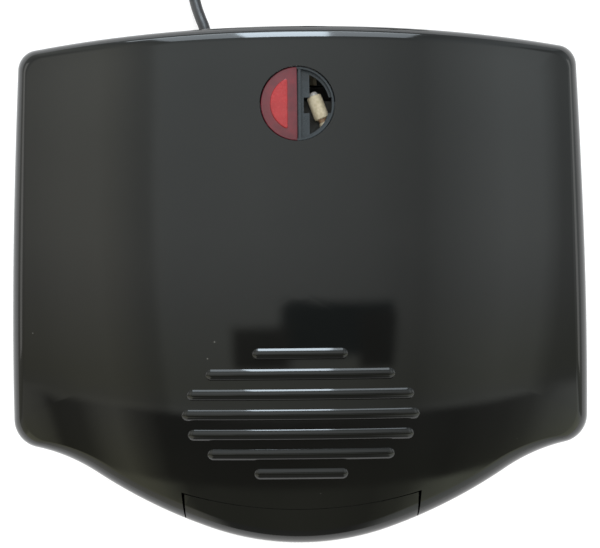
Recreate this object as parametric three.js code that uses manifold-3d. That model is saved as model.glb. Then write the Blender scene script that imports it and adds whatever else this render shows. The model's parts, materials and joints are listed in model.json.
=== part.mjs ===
// Two-slice sandwich maker with a hinged lid, a latch at the nose and a coiled mains lead.
// Millimetres, +Z up, +X right, +Y to the rear. The origin is on the table under the middle of the body.
import * as THREE from "three";
import { mergeVertices } from "three/addons/utils/BufferGeometryUtils.js";
import Module from "manifold-3d";

const wasm = await Module();
wasm.setup();

// Plan outline of the lid and the base: tangent arcs from the nose to the rear, mirrored in X.
const noseRadius = 106;
const noseTurn = THREE.MathUtils.degToRad(20);
const shoulderRadius = 219.5;
const shoulderTurn = THREE.MathUtils.degToRad(14);
const hollowRadius = 66;
const hollowTurn = THREE.MathUtils.degToRad(24);
const earRadius = 11;
const sideLean = THREE.MathUtils.degToRad(2.4);
const sideLength = 142.5;
const rearCornerRadius = 8;
const rearRadius = 850;
const blockReachShare = 1.2;

// Heights.
const footHeight = 5;
const baseHeadroom = 2.6;
const partingGap = 0.6;
const lidHeadroom = 21.1;
const apexRearInset = 61.4;
const sideFall = 17;
const rearFall = 2.5;
const frontFall = 26;
const frontFallReach = 145;
const lidWall = 2.2;
const lidDraft = 2;
const lidEdgeRadius = 7;
const baseWall = 2.2;
const tubInset = 28;
const tubProfileShares = [[0, 1], [0.043, 0.806], [0.125, 0.554], [0.268, 0.327], [0.464, 0.164],
  [0.714, 0.055], [1, 0]];
const cutOverrun = 1;
const clearance = 0.3;

// Deck frames and cooking plates.
const deckThickness = 2.4;
const deckInset = 3.2;
const plateSideMargin = 12.45;
const plateFrontMargin = 54.4;
const plateRearMargin = 10.4;
const plateCornerRadius = 14;
const plateGap = 1;
const plateFlange = 2.5;
const pocketDepth = 13;
const pocketMargin = 4;
const pocketTaper = 9;
const pocketWall = 2.5;
const sandwichEdge = 4;
const sandwichEndEdge = 11;
const sandwichSpacing = 8;
const pocketRoundShare = 1.6;
const flangeInset = 5;
const flangeWidth = 6;
const plateScrewX = 51;
const deckScrewMargin = 1;
const deckScrewInset = 4;
const elementDiameter = 6.5;
const shieldThickness = 0.8;
const shieldWidth = 150;
const shieldDepth = 124;
const elementHalfWidth = 76;
const elementHalfDepth = 34;
const elementCorner = 14;
const elementBendShare = 0.27;
const elementTurnShare = 0.14;
const elementEndX = 10;
const elementTail = 14;
const thermostatDiameter = 9;
const thermostatHeight = 7;
const thermostatStep = 22;
const bladeLength = 14;
const fuseDiameter = 4.4;
const fuseLength = 16;
const fuseStep = 28;
const screwDiameter = 4;
const screwHead = 7;
const screwHeadHeight = 1.3;
const screwLength = 9;
const bossWall = 2.2;
const bossShoulder = 1.8;

// Facets and steps of the round pieces.
const windowSides = 32;
const dishSides = 28;
const plugSides = 20;
const pinSides = 12;
const boreSides = 10;
const leadSides = 8;
const coilSides = 6;
const elementSides = 6;
const coilStepsPerTurn = 24;
const elementSteps = 44;
const cordSteps = 10;
const sleeveSteps = 9;
const tailSteps = 6;

// Hinge.
const hingeInset = 10;
const hingeX = 60;
const hingePinDiameter = 4;
const knuckleRadius = 3.6;
const knuckleWidth = 12;
const earWidth = 5;
const earFootInShare = 0.5;
const earFootDropShare = 0.87;
const earTurns = [-90, -45, 0, 45, 90];
const hingeSideGap = 0.4;
const rearNotchWidth = 222.5;
const rearNotchDepth = 12;
const troughReach = 8;

// Ribs on the lid.
const ribCount = 7;
const ribPitch = 7.95;
const ribInset = 56.9;
const ribWidth = 4;
const ribRise = 1.3;
const ribFieldHalfWidth = 46;
const ribFieldHalfDepth = 26;
const ribEndWidthShare = 0.45;
const ribEndRiseShare = 0.3;

// Lamp window.
const lampInset = 33;
const windowDiameter = 28.6;
const holderWall = 1.4;
const holderDepth = 9;
const lensGap = 0.35;
const lensSeatDepth = 3.4;
const lensThickness = 2.2;
const lensPadInset = 4.7;
const lensPadX = 3.8;
const lensPadRise = 0.6;
const lampWindowInset = 3.1;
const lampWindowX = 4.6;
const lampNotchX = 2.3;
const lampNotchLow = -3.3;
const lampNotchHigh = 2.6;
const lampDiameter = 4.2;
const sleeveDiameter = 5.8;
const lampEndMargin = 16.6;
const lampPeek = 2.2;
const lampBareLength = 3;
const lampRimInset = 6.9;
const lampShelfWidth = 6;
const lampSlotX = 3;
const lampSlotY = 4;
const lampShift = -0.6;
const lampTilt = THREE.MathUtils.degToRad(14);

// Latch.
const latchHalfWidth = 47;
const latchSlit = 1.2;
const latchSeamInset = 18.1;
const latchSeamRise = 6.6;
const latchSeamGap = 0.5;
const latchWall = 2.6;
const latchSkirt = 7.5;
const latchPinStep = 5.2;
const latchPinRise = 12;
const latchPinX = 22;
const latchPinDiameter = 3;
const latchPinLength = 13;
const latchKnuckleRadius = 3.2;
const latchLugWidth = 4;
const latchArmReach = 12;
const latchPostDepth = 6;
const latchCheekDepth = 10.4;
const hookWidthShare = 0.33;
const latchUndercutShare = 2.4;
const hookReach = 1.6;
const hookHeight = 2;

// Lead and plug.
const cordDiameter = 5;
const reliefX = -40.5;
const reliefHeight = 15;
const reliefReach = 5.6;
const reliefThick = 10;
const reliefThin = 6.8;
const reliefFlange = 1;
const glandInset = 23.4;
const glandWall = 3;
const leadX = 6;
const leadDiameter = 5;
const leadRun = 7;
const cordRouteShares = [
  { along: 0.06, across: 0, drop: 0 },
  { along: 0.13, across: 0.1, drop: 0.06 },
  { along: 0.2, across: 0.26, drop: 0.2 },
  { along: 0.3, across: 0.47, drop: 0.46 },
  { along: 0.42, across: 0.66, drop: 0.74 },
  { along: 0.56, across: 0.83, drop: 0.94 },
  { along: 0.72, across: 0.95, drop: 1 },
  { along: 0.88, across: 1, drop: 1 },
];
const tailRouteShares = [
  { along: 0.22, across: 0, drop: 0 },
  { along: 0.5, across: 0.5, drop: 0.7 },
  { along: 0.78, across: 1, drop: 1 },
];
const coilX = -17;
const coilReach = 67.6;
const coilOuterRadius = 33;
const coilPitch = 5.6;
const coilTurns = 4.25;
const coilClimbTurns = 0.5;
const plugX = 56;
const plugDiscDiameter = 38;
const plugDiscHeight = 17;
const plugPinDiameter = 4.8;
const plugPinLength = 19;
const plugPinSpacing = 19;
const plugShift = 4;
const plugEdge = 2;
const plugFoot = 3;
const bootLength = 24;
const bootCollar = 4;
const bootHeight = 9;
const bootThick = 13;
const bootThin = 7;
const earthClipDepth = 1.6;
const blockWidth = 26;
const blockDepth = 14;
const blockHeight = 11;
const blockStep = 27;

// Feet.
const footX = 78;
const footFrontInset = 12;
const footRearInset = 10;
const footRadius = 8;
const footStud = 3;
const footEdge = 1;

// Heights that follow from what the two shells hold.
const shieldNear = plateGap / 2 + pocketDepth + pocketWall + elementDiameter + 2 * clearance;
const shieldFar = shieldNear + shieldThickness;
const partingHeight = footHeight + baseWall + clearance + blockHeight + baseHeadroom + shieldFar;
const apexHeight = partingHeight + shieldFar + lidHeadroom;
const latchPinZ = partingHeight + latchPinRise;

// Turns a three.js geometry into a manifold solid.
function solid(geometry) {
  const bare = new THREE.BufferGeometry();
  bare.setAttribute("position", geometry.getAttribute("position"));
  if (geometry.index) bare.setIndex(geometry.index);
  const merged = mergeVertices(bare, 1e-4);
  const mesh = new wasm.Mesh({
    numProp: 3,
    vertProperties: new Float32Array(merged.attributes.position.array),
    triVerts: new Uint32Array(merged.index.array),
  });
  return new wasm.Manifold(mesh);
}

// Turns a manifold solid back into a three.js geometry.
function geometryOf(made) {
  const mesh = made.getMesh();
  const points = new Float32Array(mesh.numVert * 3);
  for (let i = 0; i < mesh.numVert; i++) {
    points.set(mesh.vertProperties.subarray(i * mesh.numProp, i * mesh.numProp + 3), i * 3);
  }
  const geometry = new THREE.BufferGeometry();
  geometry.setAttribute("position", new THREE.BufferAttribute(points, 3));
  geometry.setIndex(new THREE.BufferAttribute(new Uint32Array(mesh.triVerts), 1));
  geometry.computeVertexNormals();
  return geometry;
}

function box(x0, x1, y0, y1, z0, z1) {
  const geometry = new THREE.BoxGeometry(x1 - x0, y1 - y0, z1 - z0);
  return solid(geometry.translate((x0 + x1) / 2, (y0 + y1) / 2, (z0 + z1) / 2));
}

// Round bar along X, Y or Z, centred at x, y, z.
function bar(axis, radius, length, x, y, z, sides = 20) {
  const geometry = new THREE.CylinderGeometry(radius, radius, length, sides);
  if (axis === "x") geometry.rotateZ(Math.PI / 2);
  if (axis === "z") geometry.rotateX(Math.PI / 2);
  return solid(geometry.translate(x, y, z));
}

// Extrudes a plan shape upwards from z0 to z1.
function plate(shape, z0, z1, curveSegments = 6) {
  const geometry = new THREE.ExtrudeGeometry(shape, {
    depth: z1 - z0,
    bevelEnabled: false,
    curveSegments,
  });
  return solid(geometry.translate(0, 0, z0));
}

function roundedShape(width, depth, radius, x = 0, y = 0) {
  const shape = new THREE.Shape();
  const w = width / 2;
  const d = depth / 2;
  shape.moveTo(x - w + radius, y - d);
  shape.lineTo(x + w - radius, y - d);
  shape.absarc(x + w - radius, y - d + radius, radius, -Math.PI / 2, 0);
  shape.lineTo(x + w, y + d - radius);
  shape.absarc(x + w - radius, y + d - radius, radius, 0, Math.PI / 2);
  shape.lineTo(x - w + radius, y + d);
  shape.absarc(x - w + radius, y + d - radius, radius, Math.PI / 2, Math.PI);
  shape.lineTo(x - w, y - d + radius);
  shape.absarc(x - w + radius, y - d + radius, radius, Math.PI, Math.PI * 1.5);
  return shape;
}

// Half outline by a walk along the arcs, with its first point at the nose.
function halfOutline() {
  const rearStart = Math.PI / 2 + sideLean;
  const steps = [
    { radius: noseRadius, turn: noseTurn, count: 4 },
    { radius: shoulderRadius, turn: shoulderTurn, count: 4 },
    { radius: hollowRadius, turn: -hollowTurn, count: 4 },
    { radius: earRadius, turn: rearStart - noseTurn - shoulderTurn + hollowTurn, count: 4 },
  ];
  const points = [new THREE.Vector2(0, 0)];
  const at = new THREE.Vector2(0, 0);
  let heading = 0;
  function arc(radius, turn, count) {
    const sign = Math.sign(turn);
    for (let i = 0; i < count; i++) {
      const next = heading + turn / count;
      at.x += sign * radius * (Math.sin(next) - Math.sin(heading));
      at.y += sign * radius * (Math.cos(heading) - Math.cos(next));
      heading = next;
      points.push(at.clone());
    }
  }
  for (const step of steps) arc(step.radius, step.turn, step.count);
  const sideSteps = 2;
  for (let i = 0; i < sideSteps; i++) {
    at.x += Math.cos(heading) * (sideLength / sideSteps);
    at.y += Math.sin(heading) * (sideLength / sideSteps);
    points.push(at.clone());
  }
  const reach = at.x - rearCornerRadius * Math.sin(heading);
  const rearHeading = Math.PI - Math.asin(reach / (rearRadius - rearCornerRadius));
  arc(rearCornerRadius, rearHeading - heading, 3);
  arc(rearRadius, Math.PI - rearHeading, 4);
  return points;
}

const half = halfOutline();
const bodyDepth = half[half.length - 1].y;
const outline = [
  ...half,
  ...half
    .slice(1, -1)
    .reverse()
    .map((p) => new THREE.Vector2(-p.x, p.y)),
].map((p) => new THREE.Vector2(p.x, p.y - bodyDepth / 2));
const bodyHalfWidth = Math.max(...half.map((p) => p.x));
const rearY = bodyDepth / 2;
const hingeY = rearY - hingeInset;
const troughFrontY = hingeY - troughReach;
const noseY = -rearY;
const apexY = rearY - apexRearInset;
const latchSeamY = noseY + latchSeamInset;
const latchPinY = latchSeamY - latchPinStep;
const ribCentreY = noseY + ribInset;
const lampY = rearY - lampInset;
const reliefTipY = rearY + reliefReach;
const glandFace = rearY - glandInset;
const blockY = glandFace - blockStep;
const coilY = rearY + coilReach;
const plateFrontY = noseY + plateFrontMargin;
const plateRearY = troughFrontY - plateRearMargin;
const plateCentreY = (plateFrontY + plateRearY) / 2;
const plateDepth = plateRearY - plateFrontY;
const thermostatY = plateCentreY + thermostatStep;
const fuseY = plateCentreY - fuseStep;
const footY = [plateFrontY + footFrontInset, plateRearY - footRearInset];
const sandwichDepth = plateDepth - 2 * sandwichEndEdge;
const plateWidth = 2 * (bodyHalfWidth - plateSideMargin);
const sandwichWidth = (plateWidth - sandwichSpacing) / 2 - sandwichEdge;
const deckScrewX = plateWidth / 2 + deckScrewMargin;
const deckScrewY = [plateFrontY, plateRearY - deckScrewInset];

// Plan point of the outline moved inwards by inset, towards the body's middle.
function inset(p, distance) {
  return p.clone().multiplyScalar(1 - distance / p.length());
}

function outlineShape(distance) {
  return new THREE.Shape(outline.map((p) => inset(p, distance)));
}

// Height of the lid's crown over a plan point.
function crown(x, y) {
  const side = sideFall * Math.pow(Math.abs(x) / bodyHalfWidth, 2.1);
  const rear = y > apexY ? rearFall * Math.pow((y - apexY) / (bodyDepth / 2 - apexY), 2) : 0;
  const front = y < apexY ? frontFall * Math.pow((apexY - y) / frontFallReach, 2.2) : 0;
  return apexHeight - side - rear - front;
}

// Closed skin between two stacks of rings: each ring is a list of points, and both stacks end in a pole.
function skin(outer, outerPole, inner, innerPole) {
  const count = outer[0].length;
  const rings = [...outer, ...(inner || [])];
  const points = rings.flat();
  const faces = [];
  const quad = (a, b, c, d) => faces.push(a, b, c, a, c, d);
  function wall(low, high) {
    for (let i = 0; i < count; i++) {
      const j = (i + 1) % count;
      quad(low * count + i, low * count + j, high * count + j, high * count + i);
    }
  }
  function fan(ring, pole, up) {
    points.push(pole);
    const centre = points.length - 1;
    for (let i = 0; i < count; i++) {
      const j = (i + 1) % count;
      const a = ring * count + i;
      const b = ring * count + j;
      if (up) faces.push(a, b, centre);
      else faces.push(b, a, centre);
    }
  }
  for (let k = 0; k + 1 < outer.length; k++) wall(k, k + 1);
  fan(outer.length - 1, outerPole, true);
  if (inner) {
    for (let k = outer.length; k + 1 < rings.length; k++) wall(k + 1, k);
    wall(outer.length, 0);
    fan(rings.length - 1, innerPole, false);
  } else {
    fan(0, innerPole, false);
  }
  const geometry = new THREE.BufferGeometry();
  geometry.setAttribute("position", new THREE.Float32BufferAttribute(points.flatMap((p) => p.toArray()), 3));
  geometry.setIndex(faces);
  const made = solid(geometry);
  return made;
}

const outerFilletSteps = [0, 30, 60, 90];
const innerFilletSteps = [0, 90];
const outerCrownShares = [0.8, 0.55, 0.28];
const innerCrownShares = [0.7, 0.35];

// Rings of the lid's dome, grown inwards by a wall thickness.
function lidRings(wall, bottoms) {
  const ring = (distance, height) =>
    outline.map((p) => {
      const q = inset(p, distance);
      return new THREE.Vector3(q.x, q.y, height(q, p));
    });
  const edgeRadius = lidEdgeRadius - wall;
  const rings = bottoms.map((bottom) => ring(wall, () => bottom));
  const degrees = wall ? innerFilletSteps : outerFilletSteps;
  for (const angle of degrees.map((d) => THREE.MathUtils.degToRad(d))) {
    const distance = wall + lidDraft + edgeRadius * (1 - Math.cos(angle));
    const drop = edgeRadius * (1 - Math.sin(angle));
    rings.push(ring(distance, (q) => crown(q.x, q.y) - wall - drop));
  }
  const last = wall + lidDraft + edgeRadius;
  for (const share of wall ? innerCrownShares : outerCrownShares) {
    rings.push(
      outline.map((p) => {
        const q = inset(p, last).multiplyScalar(share);
        return new THREE.Vector3(q.x, q.y, crown(q.x, q.y) - wall);
      }),
    );
  }
  return rings;
}

const lidBottom = partingHeight + partingGap / 2;
const baseTop = partingHeight - partingGap / 2;
const origin = new THREE.Vector2(0, 0);
const lidPole = (wall) => new THREE.Vector3(0, 0, crown(origin.x, origin.y) - wall);

function lidSolid(wall, ...bottoms) {
  return skin(lidRings(wall, bottoms), lidPole(wall), null, new THREE.Vector3(0, 0, bottoms[0]));
}

// Base tub: heights and insets of its outer rings, from the rim to the floor.
const baseRings = tubProfileShares.map(([insetShare, heightShare]) => ({
  inset: insetShare * tubInset,
  height: footHeight + heightShare * (baseTop - footHeight),
}));

function tubRings(wall) {
  return baseRings
    .map((r) => {
      const height = r.height === baseTop ? baseTop + (wall ? cutOverrun : 0) : r.height + wall;
      return outline.map((p) => {
        const q = inset(p, r.inset + wall);
        return new THREE.Vector3(q.x, q.y, height);
      });
    })
    .reverse();
}

function tubSolid(wall) {
  const rings = tubRings(wall);
  const low = new THREE.Vector3(0, 0, rings[0][0].z);
  const high = new THREE.Vector3(0, 0, rings[rings.length - 1][0].z);
  return skin(rings, high, null, low);
}

const seamHeight = crown(0, latchSeamY);

// Curved seam of the latch in plan: nearest to the nose at its middle.
function seamY(x, shift) {
  return latchSeamY + latchSeamRise * Math.pow(x / latchHalfWidth, 2) + shift;
}

// Block in front of the seam. The leaning one slopes back downwards from the seam's height.
function latchBlock(halfWidth, shift, z0, z1, lean) {
  const shape = new THREE.Shape();
  const farY = noseY * blockReachShare;
  const seamSteps = 8;
  shape.moveTo(-halfWidth, farY);
  shape.lineTo(halfWidth, farY);
  for (let i = 0; i <= seamSteps; i++) {
    const x = halfWidth - (2 * halfWidth * i) / seamSteps;
    shape.lineTo(x, seamY(x, shift));
  }
  const geometry = new THREE.ExtrudeGeometry(shape, { depth: z1 - z0, bevelEnabled: false });
  geometry.translate(0, 0, z0);
  const shear = new THREE.Matrix4().set(
    1, 0, 0, 0,
    0, 1, -latchUndercutShare, latchUndercutShare * seamHeight,
    0, 0, 1, 0,
    0, 0, 0, 1,
  );
  return solid(lean ? geometry.applyMatrix4(shear) : geometry);
}

const group = new THREE.Group();
const lid = new THREE.Group();
const base = new THREE.Group();
group.add(lid, base);

const colours = {
  gloss: { color: 0x161616, roughness: 0.18, metalness: 0 },
  matte: { color: 0x232323, roughness: 0.6, metalness: 0 },
  coated: { color: 0x2b2b2d, roughness: 0.45, metalness: 0.3 },
  steel: { color: 0xb8babd, roughness: 0.35, metalness: 1 },
  tin: { color: 0xc9ccce, roughness: 0.4, metalness: 1 },
  rubber: { color: 0x1a1a1a, roughness: 0.85, metalness: 0 },
  lens: { color: 0xb8252c, roughness: 0.15, metalness: 0 },
  holder: { color: 0x3c4145, roughness: 0.4, metalness: 0 },
  sleeve: { color: 0xcfc4a2, roughness: 0.8, metalness: 0 },
  glass: { color: 0xd9d2c4, roughness: 0.1, metalness: 0 },
  ceramic: { color: 0xe6e2d8, roughness: 0.6, metalness: 0 },
  brass: { color: 0xb5923f, roughness: 0.3, metalness: 1 },
};

function add(parent, name, made, look) {
  const mesh = new THREE.Mesh(geometryOf(made), new THREE.MeshStandardMaterial(colours[look]));
  mesh.name = name;
  parent.add(mesh);
  return mesh;
}

// Places of the screws that hold each plate, and of those that hold each deck.
const plateFront = plateCentreY - plateDepth / 2;
const plateRear = plateCentreY + plateDepth / 2;
const plateScrewPlaces = [-1, 1].flatMap((sx) =>
  [plateFront + flangeInset, plateRear - flangeInset].map((y) => [sx * plateScrewX, y]),
);
const deckScrewPlaces = [-1, 1].flatMap((sx) => deckScrewY.map((y) => [sx * deckScrewX, y]));

// Lid cover.
const ribs = [];
for (let i = 0; i < ribCount; i++) {
  const offset = (i - (ribCount - 1) / 2) * ribPitch;
  const halfLength = ribFieldHalfWidth * Math.sqrt(1 - Math.pow(offset / ribFieldHalfDepth, 2));
  const y = ribCentreY + offset;
  const lengthSteps = 5;
  const sides = 6;
  const points = [];
  const faces = [];
  for (let k = 0; k <= lengthSteps; k++) {
    const x = -halfLength + (2 * halfLength * k) / lengthSteps;
    const nearEnd = k === 0 || k === lengthSteps;
    const radius = (ribWidth / 2) * (nearEnd ? ribEndWidthShare : 1);
    for (let s = 0; s < sides; s++) {
      const a = (2 * Math.PI * s) / sides;
      const rise = (nearEnd ? ribEndRiseShare : 1) * ribRise * Math.sin(a);
      points.push(x, y + radius * Math.cos(a), crown(x, y) + (s > sides / 2 ? -lidWall / 2 : rise));
    }
  }
  for (let k = 0; k < lengthSteps; k++) {
    for (let s = 0; s < sides; s++) {
      const t = (s + 1) % sides;
      const a = k * sides + s;
      const b = k * sides + t;
      const c = (k + 1) * sides + t;
      const d = (k + 1) * sides + s;
      faces.push(a, b, c, a, c, d);
    }
  }
  for (let s = 1; s + 1 < sides; s++) {
    faces.push(0, s + 1, s);
    const end = lengthSteps * sides;
    faces.push(end, end + s, end + s + 1);
  }
  const geometry = new THREE.BufferGeometry();
  geometry.setAttribute("position", new THREE.Float32BufferAttribute(points, 3));
  geometry.setIndex(faces);
  ribs.push(solid(geometry));
}

const lidOuter = lidSolid(0, lidBottom);
const lidInner = lidSolid(lidWall, lidBottom - cutOverrun);
let lidShell = lidOuter.subtract(lidInner);
for (const rib of ribs) lidShell = lidShell.add(rib);

// Tube that carries the lamp holder, hanging from the crown.
const windowRadius = windowDiameter / 2;
const lensPadRadius = windowRadius - lensPadInset;
const lampWindowRadius = windowRadius - lampWindowInset;
const lampX = windowRadius - lampRimInset;
const lampLength = windowDiameter - lampEndMargin;
const sleeveLength = lampLength - lampBareLength;
const windowTop = crown(0, lampY);
const wellTube = bar("z", windowRadius + holderWall, holderDepth * 2, 0, lampY,
  windowTop - holderDepth, windowSides);
lidShell = lidShell.add(wellTube.intersect(lidOuter).subtract(box(
  -windowDiameter, windowDiameter, lampY - windowDiameter, lampY + windowDiameter,
  partingHeight, windowTop - holderDepth)));
const holderSeat = windowTop - holderDepth;
lidShell = lidShell.subtract(bar("z", windowRadius, apexHeight, 0, lampY, windowTop, windowSides));

// Bosses under the crown for the plate and deck screws.
const upperPlateFace = partingHeight + plateGap / 2;
const upperFlangeTop = upperPlateFace + plateFlange;
const bossRadius = screwDiameter / 2 + bossWall;
const upperBossBottom = upperFlangeTop + clearance;
const deckBossBottom = upperFlangeTop + deckThickness + 2 * clearance;
function lidBoss(x, y, bottom, shoulder) {
  let post = bar("z", bossRadius, apexHeight, x, y, bottom + apexHeight / 2, boreSides);
  if (shoulder) post = post.add(bar("z", bossRadius + bossShoulder, apexHeight, x, y,
    shoulder + apexHeight / 2, boreSides));
  const bore = bar("z", screwDiameter / 2 + clearance / 2, 2 * screwLength, x, y, bottom, boreSides);
  return post.intersect(lidOuter).subtract(bore);
}
const upperShoulder = partingHeight + shieldFar + clearance;
for (const [x, y] of plateScrewPlaces) lidShell = lidShell.add(lidBoss(x, y, upperBossBottom,
  upperShoulder));
for (const [x, y] of deckScrewPlaces) lidShell = lidShell.add(lidBoss(x, y, deckBossBottom));

// Lid knuckles of the hinge, each hanging between two ears of the base.
for (const side of [-1, 1]) {
  const x0 = side * hingeX - knuckleWidth / 2;
  const x1 = side * hingeX + knuckleWidth / 2;
  const arm = box(x0, x1, hingeY - knuckleRadius, hingeY + knuckleRadius, partingHeight, apexHeight);
  const round = bar("x", knuckleRadius, knuckleWidth, side * hingeX, hingeY, partingHeight, pinSides);
  lidShell = lidShell.add(arm.intersect(lidOuter).add(round));
}
lidShell = lidShell.subtract(
  bar("x", hingePinDiameter / 2 + clearance / 2, bodyDepth, 0, hingeY, partingHeight, pinSides)
    .intersect(box(-hingeX - knuckleWidth, hingeX + knuckleWidth, hingeY - knuckleRadius,
      hingeY + knuckleRadius,
      partingHeight - knuckleRadius, partingHeight + knuckleRadius)),
);

// Opening for the latch, and the lugs that carry its pins.
const openHalf = latchHalfWidth + latchSlit / 2;
const noseFront = noseY - lidEdgeRadius;
const undercutDepth = 2 * lidWall;
const leanCut = latchBlock(openHalf, latchSeamGap / 2, seamHeight - undercutDepth, seamHeight, true);
lidShell = lidShell.subtract(latchBlock(openHalf, latchSeamGap / 2, footHeight, apexHeight).add(leanCut));
const lugStep = latchLugWidth + hingeSideGap;
const lugRear = latchSeamY + latchArmReach;
const lugPostFront = lugRear - latchPostDepth;
for (const side of [-1, 1]) {
  for (const offset of [-lugStep, lugStep]) {
    const x = side * latchPinX + offset;
    const x0 = x - latchLugWidth / 2;
    const x1 = x + latchLugWidth / 2;
    const low = latchPinZ - latchKnuckleRadius;
    const arm = box(x0, x1, latchPinY, lugRear, low, latchPinZ + latchKnuckleRadius);
    const post = box(x0, x1, lugPostFront, lugRear, low, apexHeight).intersect(lidOuter);
    const round = bar("x", latchKnuckleRadius, latchLugWidth, x, latchPinY, latchPinZ, pinSides);
    lidShell = lidShell.add(arm.add(post).add(round));
  }
}
const latchPinSpan = 2 * (latchPinX + latchPinLength);
const latchPinBore = bar("x", latchPinDiameter / 2 + clearance / 2, latchPinSpan, 0, latchPinY,
  latchPinZ, pinSides);
lidShell = lidShell.subtract(latchPinBore);
add(lid, "lid_shell", lidShell, "gloss");

// Latch flap: the lid's own surface in front of the seam, carried down over the base's nose.
const flapBottom = partingHeight - latchSkirt;
const flapBlock = latchBlock(latchHalfWidth - latchSlit / 2, -latchSeamGap / 2,
  flapBottom - cutOverrun, apexHeight);
const flapOuter = lidSolid(0, flapBottom, lidBottom).intersect(flapBlock);
const flapInner = lidSolid(latchWall, flapBottom - cutOverrun, lidBottom);
let flap = flapOuter.subtract(flapInner);
const cheekFrom = latchHalfWidth - latchSlit / 2 - latchWall / 2;
for (const side of [-1, 1]) {
  const x = side * (cheekFrom + latchHalfWidth);
  const cheek = box(x / 2 - latchWall / 2, x / 2 + latchWall / 2, noseFront, 0, lidBottom, apexHeight);
  flap = flap.add(flapOuter.intersect(cheek).subtract(plate(outlineShape(latchCheekDepth), 0,
    apexHeight)));
  const arm = box(side * latchPinX - latchLugWidth / 2, side * latchPinX + latchLugWidth / 2,
    latchPinY - latchKnuckleRadius, latchPinY + latchKnuckleRadius, latchPinZ, apexHeight);
  const round = bar("x", latchKnuckleRadius, latchLugWidth, side * latchPinX, latchPinY, latchPinZ,
    pinSides);
  flap = flap.add(arm.intersect(flapOuter).add(round));
}
const hookLow = flapBottom + clearance;
const hookHalfWidth = latchHalfWidth * hookWidthShare;
const hookBand = plate(outlineShape(latchWall - clearance), hookLow, hookLow + hookHeight)
  .subtract(plate(outlineShape(latchWall + hookReach), hookLow - cutOverrun,
    hookLow + hookHeight + cutOverrun));
flap = flap.add(hookBand.intersect(box(-hookHalfWidth, hookHalfWidth, noseFront, 0, 0, apexHeight)));
flap = flap.subtract(latchPinBore);
add(lid, "latch", flap, "gloss");
for (const [name, side] of [["latch_pin_left", -1], ["latch_pin_right", 1]]) {
  add(lid, name, bar("x", latchPinDiameter / 2, latchPinLength, side * latchPinX, latchPinY,
    latchPinZ, pinSides), "steel");
}

// Base tub with its hinge trough, ears, catch, bosses and lead gland.
const baseOuter = tubSolid(0);
let baseShell = baseOuter.subtract(tubSolid(baseWall));
const farX = bodyHalfWidth + cutOverrun;
const farY = bodyDepth / 2 + cutOverrun;
const notchFloor = partingHeight - rearNotchDepth;
const baseDeckTop = partingHeight - plateGap / 2 - plateFlange - clearance;
const troughWallTop = baseDeckTop;
const troughFloor = box(-farX, farX, troughFrontY - baseWall, farY, notchFloor - baseWall, notchFloor);
const troughFront = box(-farX, farX, troughFrontY - baseWall, troughFrontY, notchFloor - baseWall,
  troughWallTop);
baseShell = baseShell.add(troughFloor.add(troughFront).intersect(baseOuter));
baseShell = baseShell.subtract(
  box(-rearNotchWidth / 2, rearNotchWidth / 2, troughFrontY + cutOverrun, farY, notchFloor, apexHeight));
const earShape = new THREE.Shape();
const earRoot = troughFrontY - clearance;
earShape.moveTo(earRoot, notchFloor);
const earFootY = hingeY - knuckleRadius * earFootInShare;
earShape.lineTo(earFootY, partingHeight - knuckleRadius * earFootDropShare);
for (const degrees of earTurns) {
  const angle = THREE.MathUtils.degToRad(degrees);
  const reach = knuckleRadius * Math.cos(angle);
  earShape.lineTo(hingeY + reach, partingHeight + knuckleRadius * Math.sin(angle));
}
earShape.lineTo(hingeY - knuckleRadius, partingHeight + knuckleRadius);
earShape.lineTo(earRoot, troughWallTop);
const earOffset = knuckleWidth / 2 + hingeSideGap + earWidth / 2;
for (const side of [-1, 1]) {
  for (const offset of [-earOffset, earOffset]) {
    const ear = new THREE.ExtrudeGeometry(earShape, { depth: earWidth, bevelEnabled: false });
    ear.applyMatrix4(new THREE.Matrix4().set(
      0, 0, 1, side * hingeX + offset - earWidth / 2,
      1, 0, 0, 0,
      0, 1, 0, 0,
      0, 0, 0, 1,
    ));
    baseShell = baseShell.add(solid(ear));
  }
}
const hingePinLength = 2 * (earOffset + earWidth / 2);
const hingePinSpan = 2 * hingeX + hingePinLength;
baseShell = baseShell.subtract(
  bar("x", hingePinDiameter / 2 + clearance / 2, hingePinSpan, 0, hingeY, partingHeight, pinSides));
for (const [name, side] of [["hinge_pin_left", -1], ["hinge_pin_right", 1]]) {
  add(base, name, bar("x", hingePinDiameter / 2, hingePinLength, side * hingeX, hingeY,
    partingHeight, pinSides), "steel");
}

// Recess in the base's nose for the flap's skirt, with a wall behind it and the catch slot for the hook.
const recessFace = latchWall + hookReach + clearance;
const recessFloor = flapBottom - 2 * clearance;
const recessRoom = box(-openHalf, openHalf, noseFront, 0, recessFloor, apexHeight);
const recessWallRoom = box(-openHalf - baseWall, openHalf + baseWall, noseFront, 0,
  recessFloor - baseWall, baseDeckTop);
const recessWall = plate(outlineShape(recessFace), recessFloor - baseWall, baseDeckTop)
  .subtract(plate(outlineShape(recessFace + baseWall), 0, apexHeight));
baseShell = baseShell.subtract(recessRoom.subtract(plate(outlineShape(recessFace), 0, apexHeight)));
baseShell = baseShell.add(recessWall.intersect(recessWallRoom).intersect(baseOuter));
const noseFloorBand = baseOuter.intersect(
  box(-openHalf - baseWall, openHalf + baseWall, noseFront, 0, recessFloor - baseWall, recessFloor))
  .subtract(plate(outlineShape(recessFace + baseWall), 0, apexHeight));
baseShell = baseShell.add(noseFloorBand);
const catchHalfWidth = hookHalfWidth + hookReach;
const catchSlot = plate(outlineShape(recessFace - clearance), hookLow - clearance,
  hookLow + hookHeight + 2 * clearance)
  .subtract(plate(outlineShape(recessFace + baseWall + cutOverrun), 0, apexHeight))
  .intersect(box(-catchHalfWidth, catchHalfWidth, noseFront, 0, 0, apexHeight));
baseShell = baseShell.subtract(catchSlot);

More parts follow.
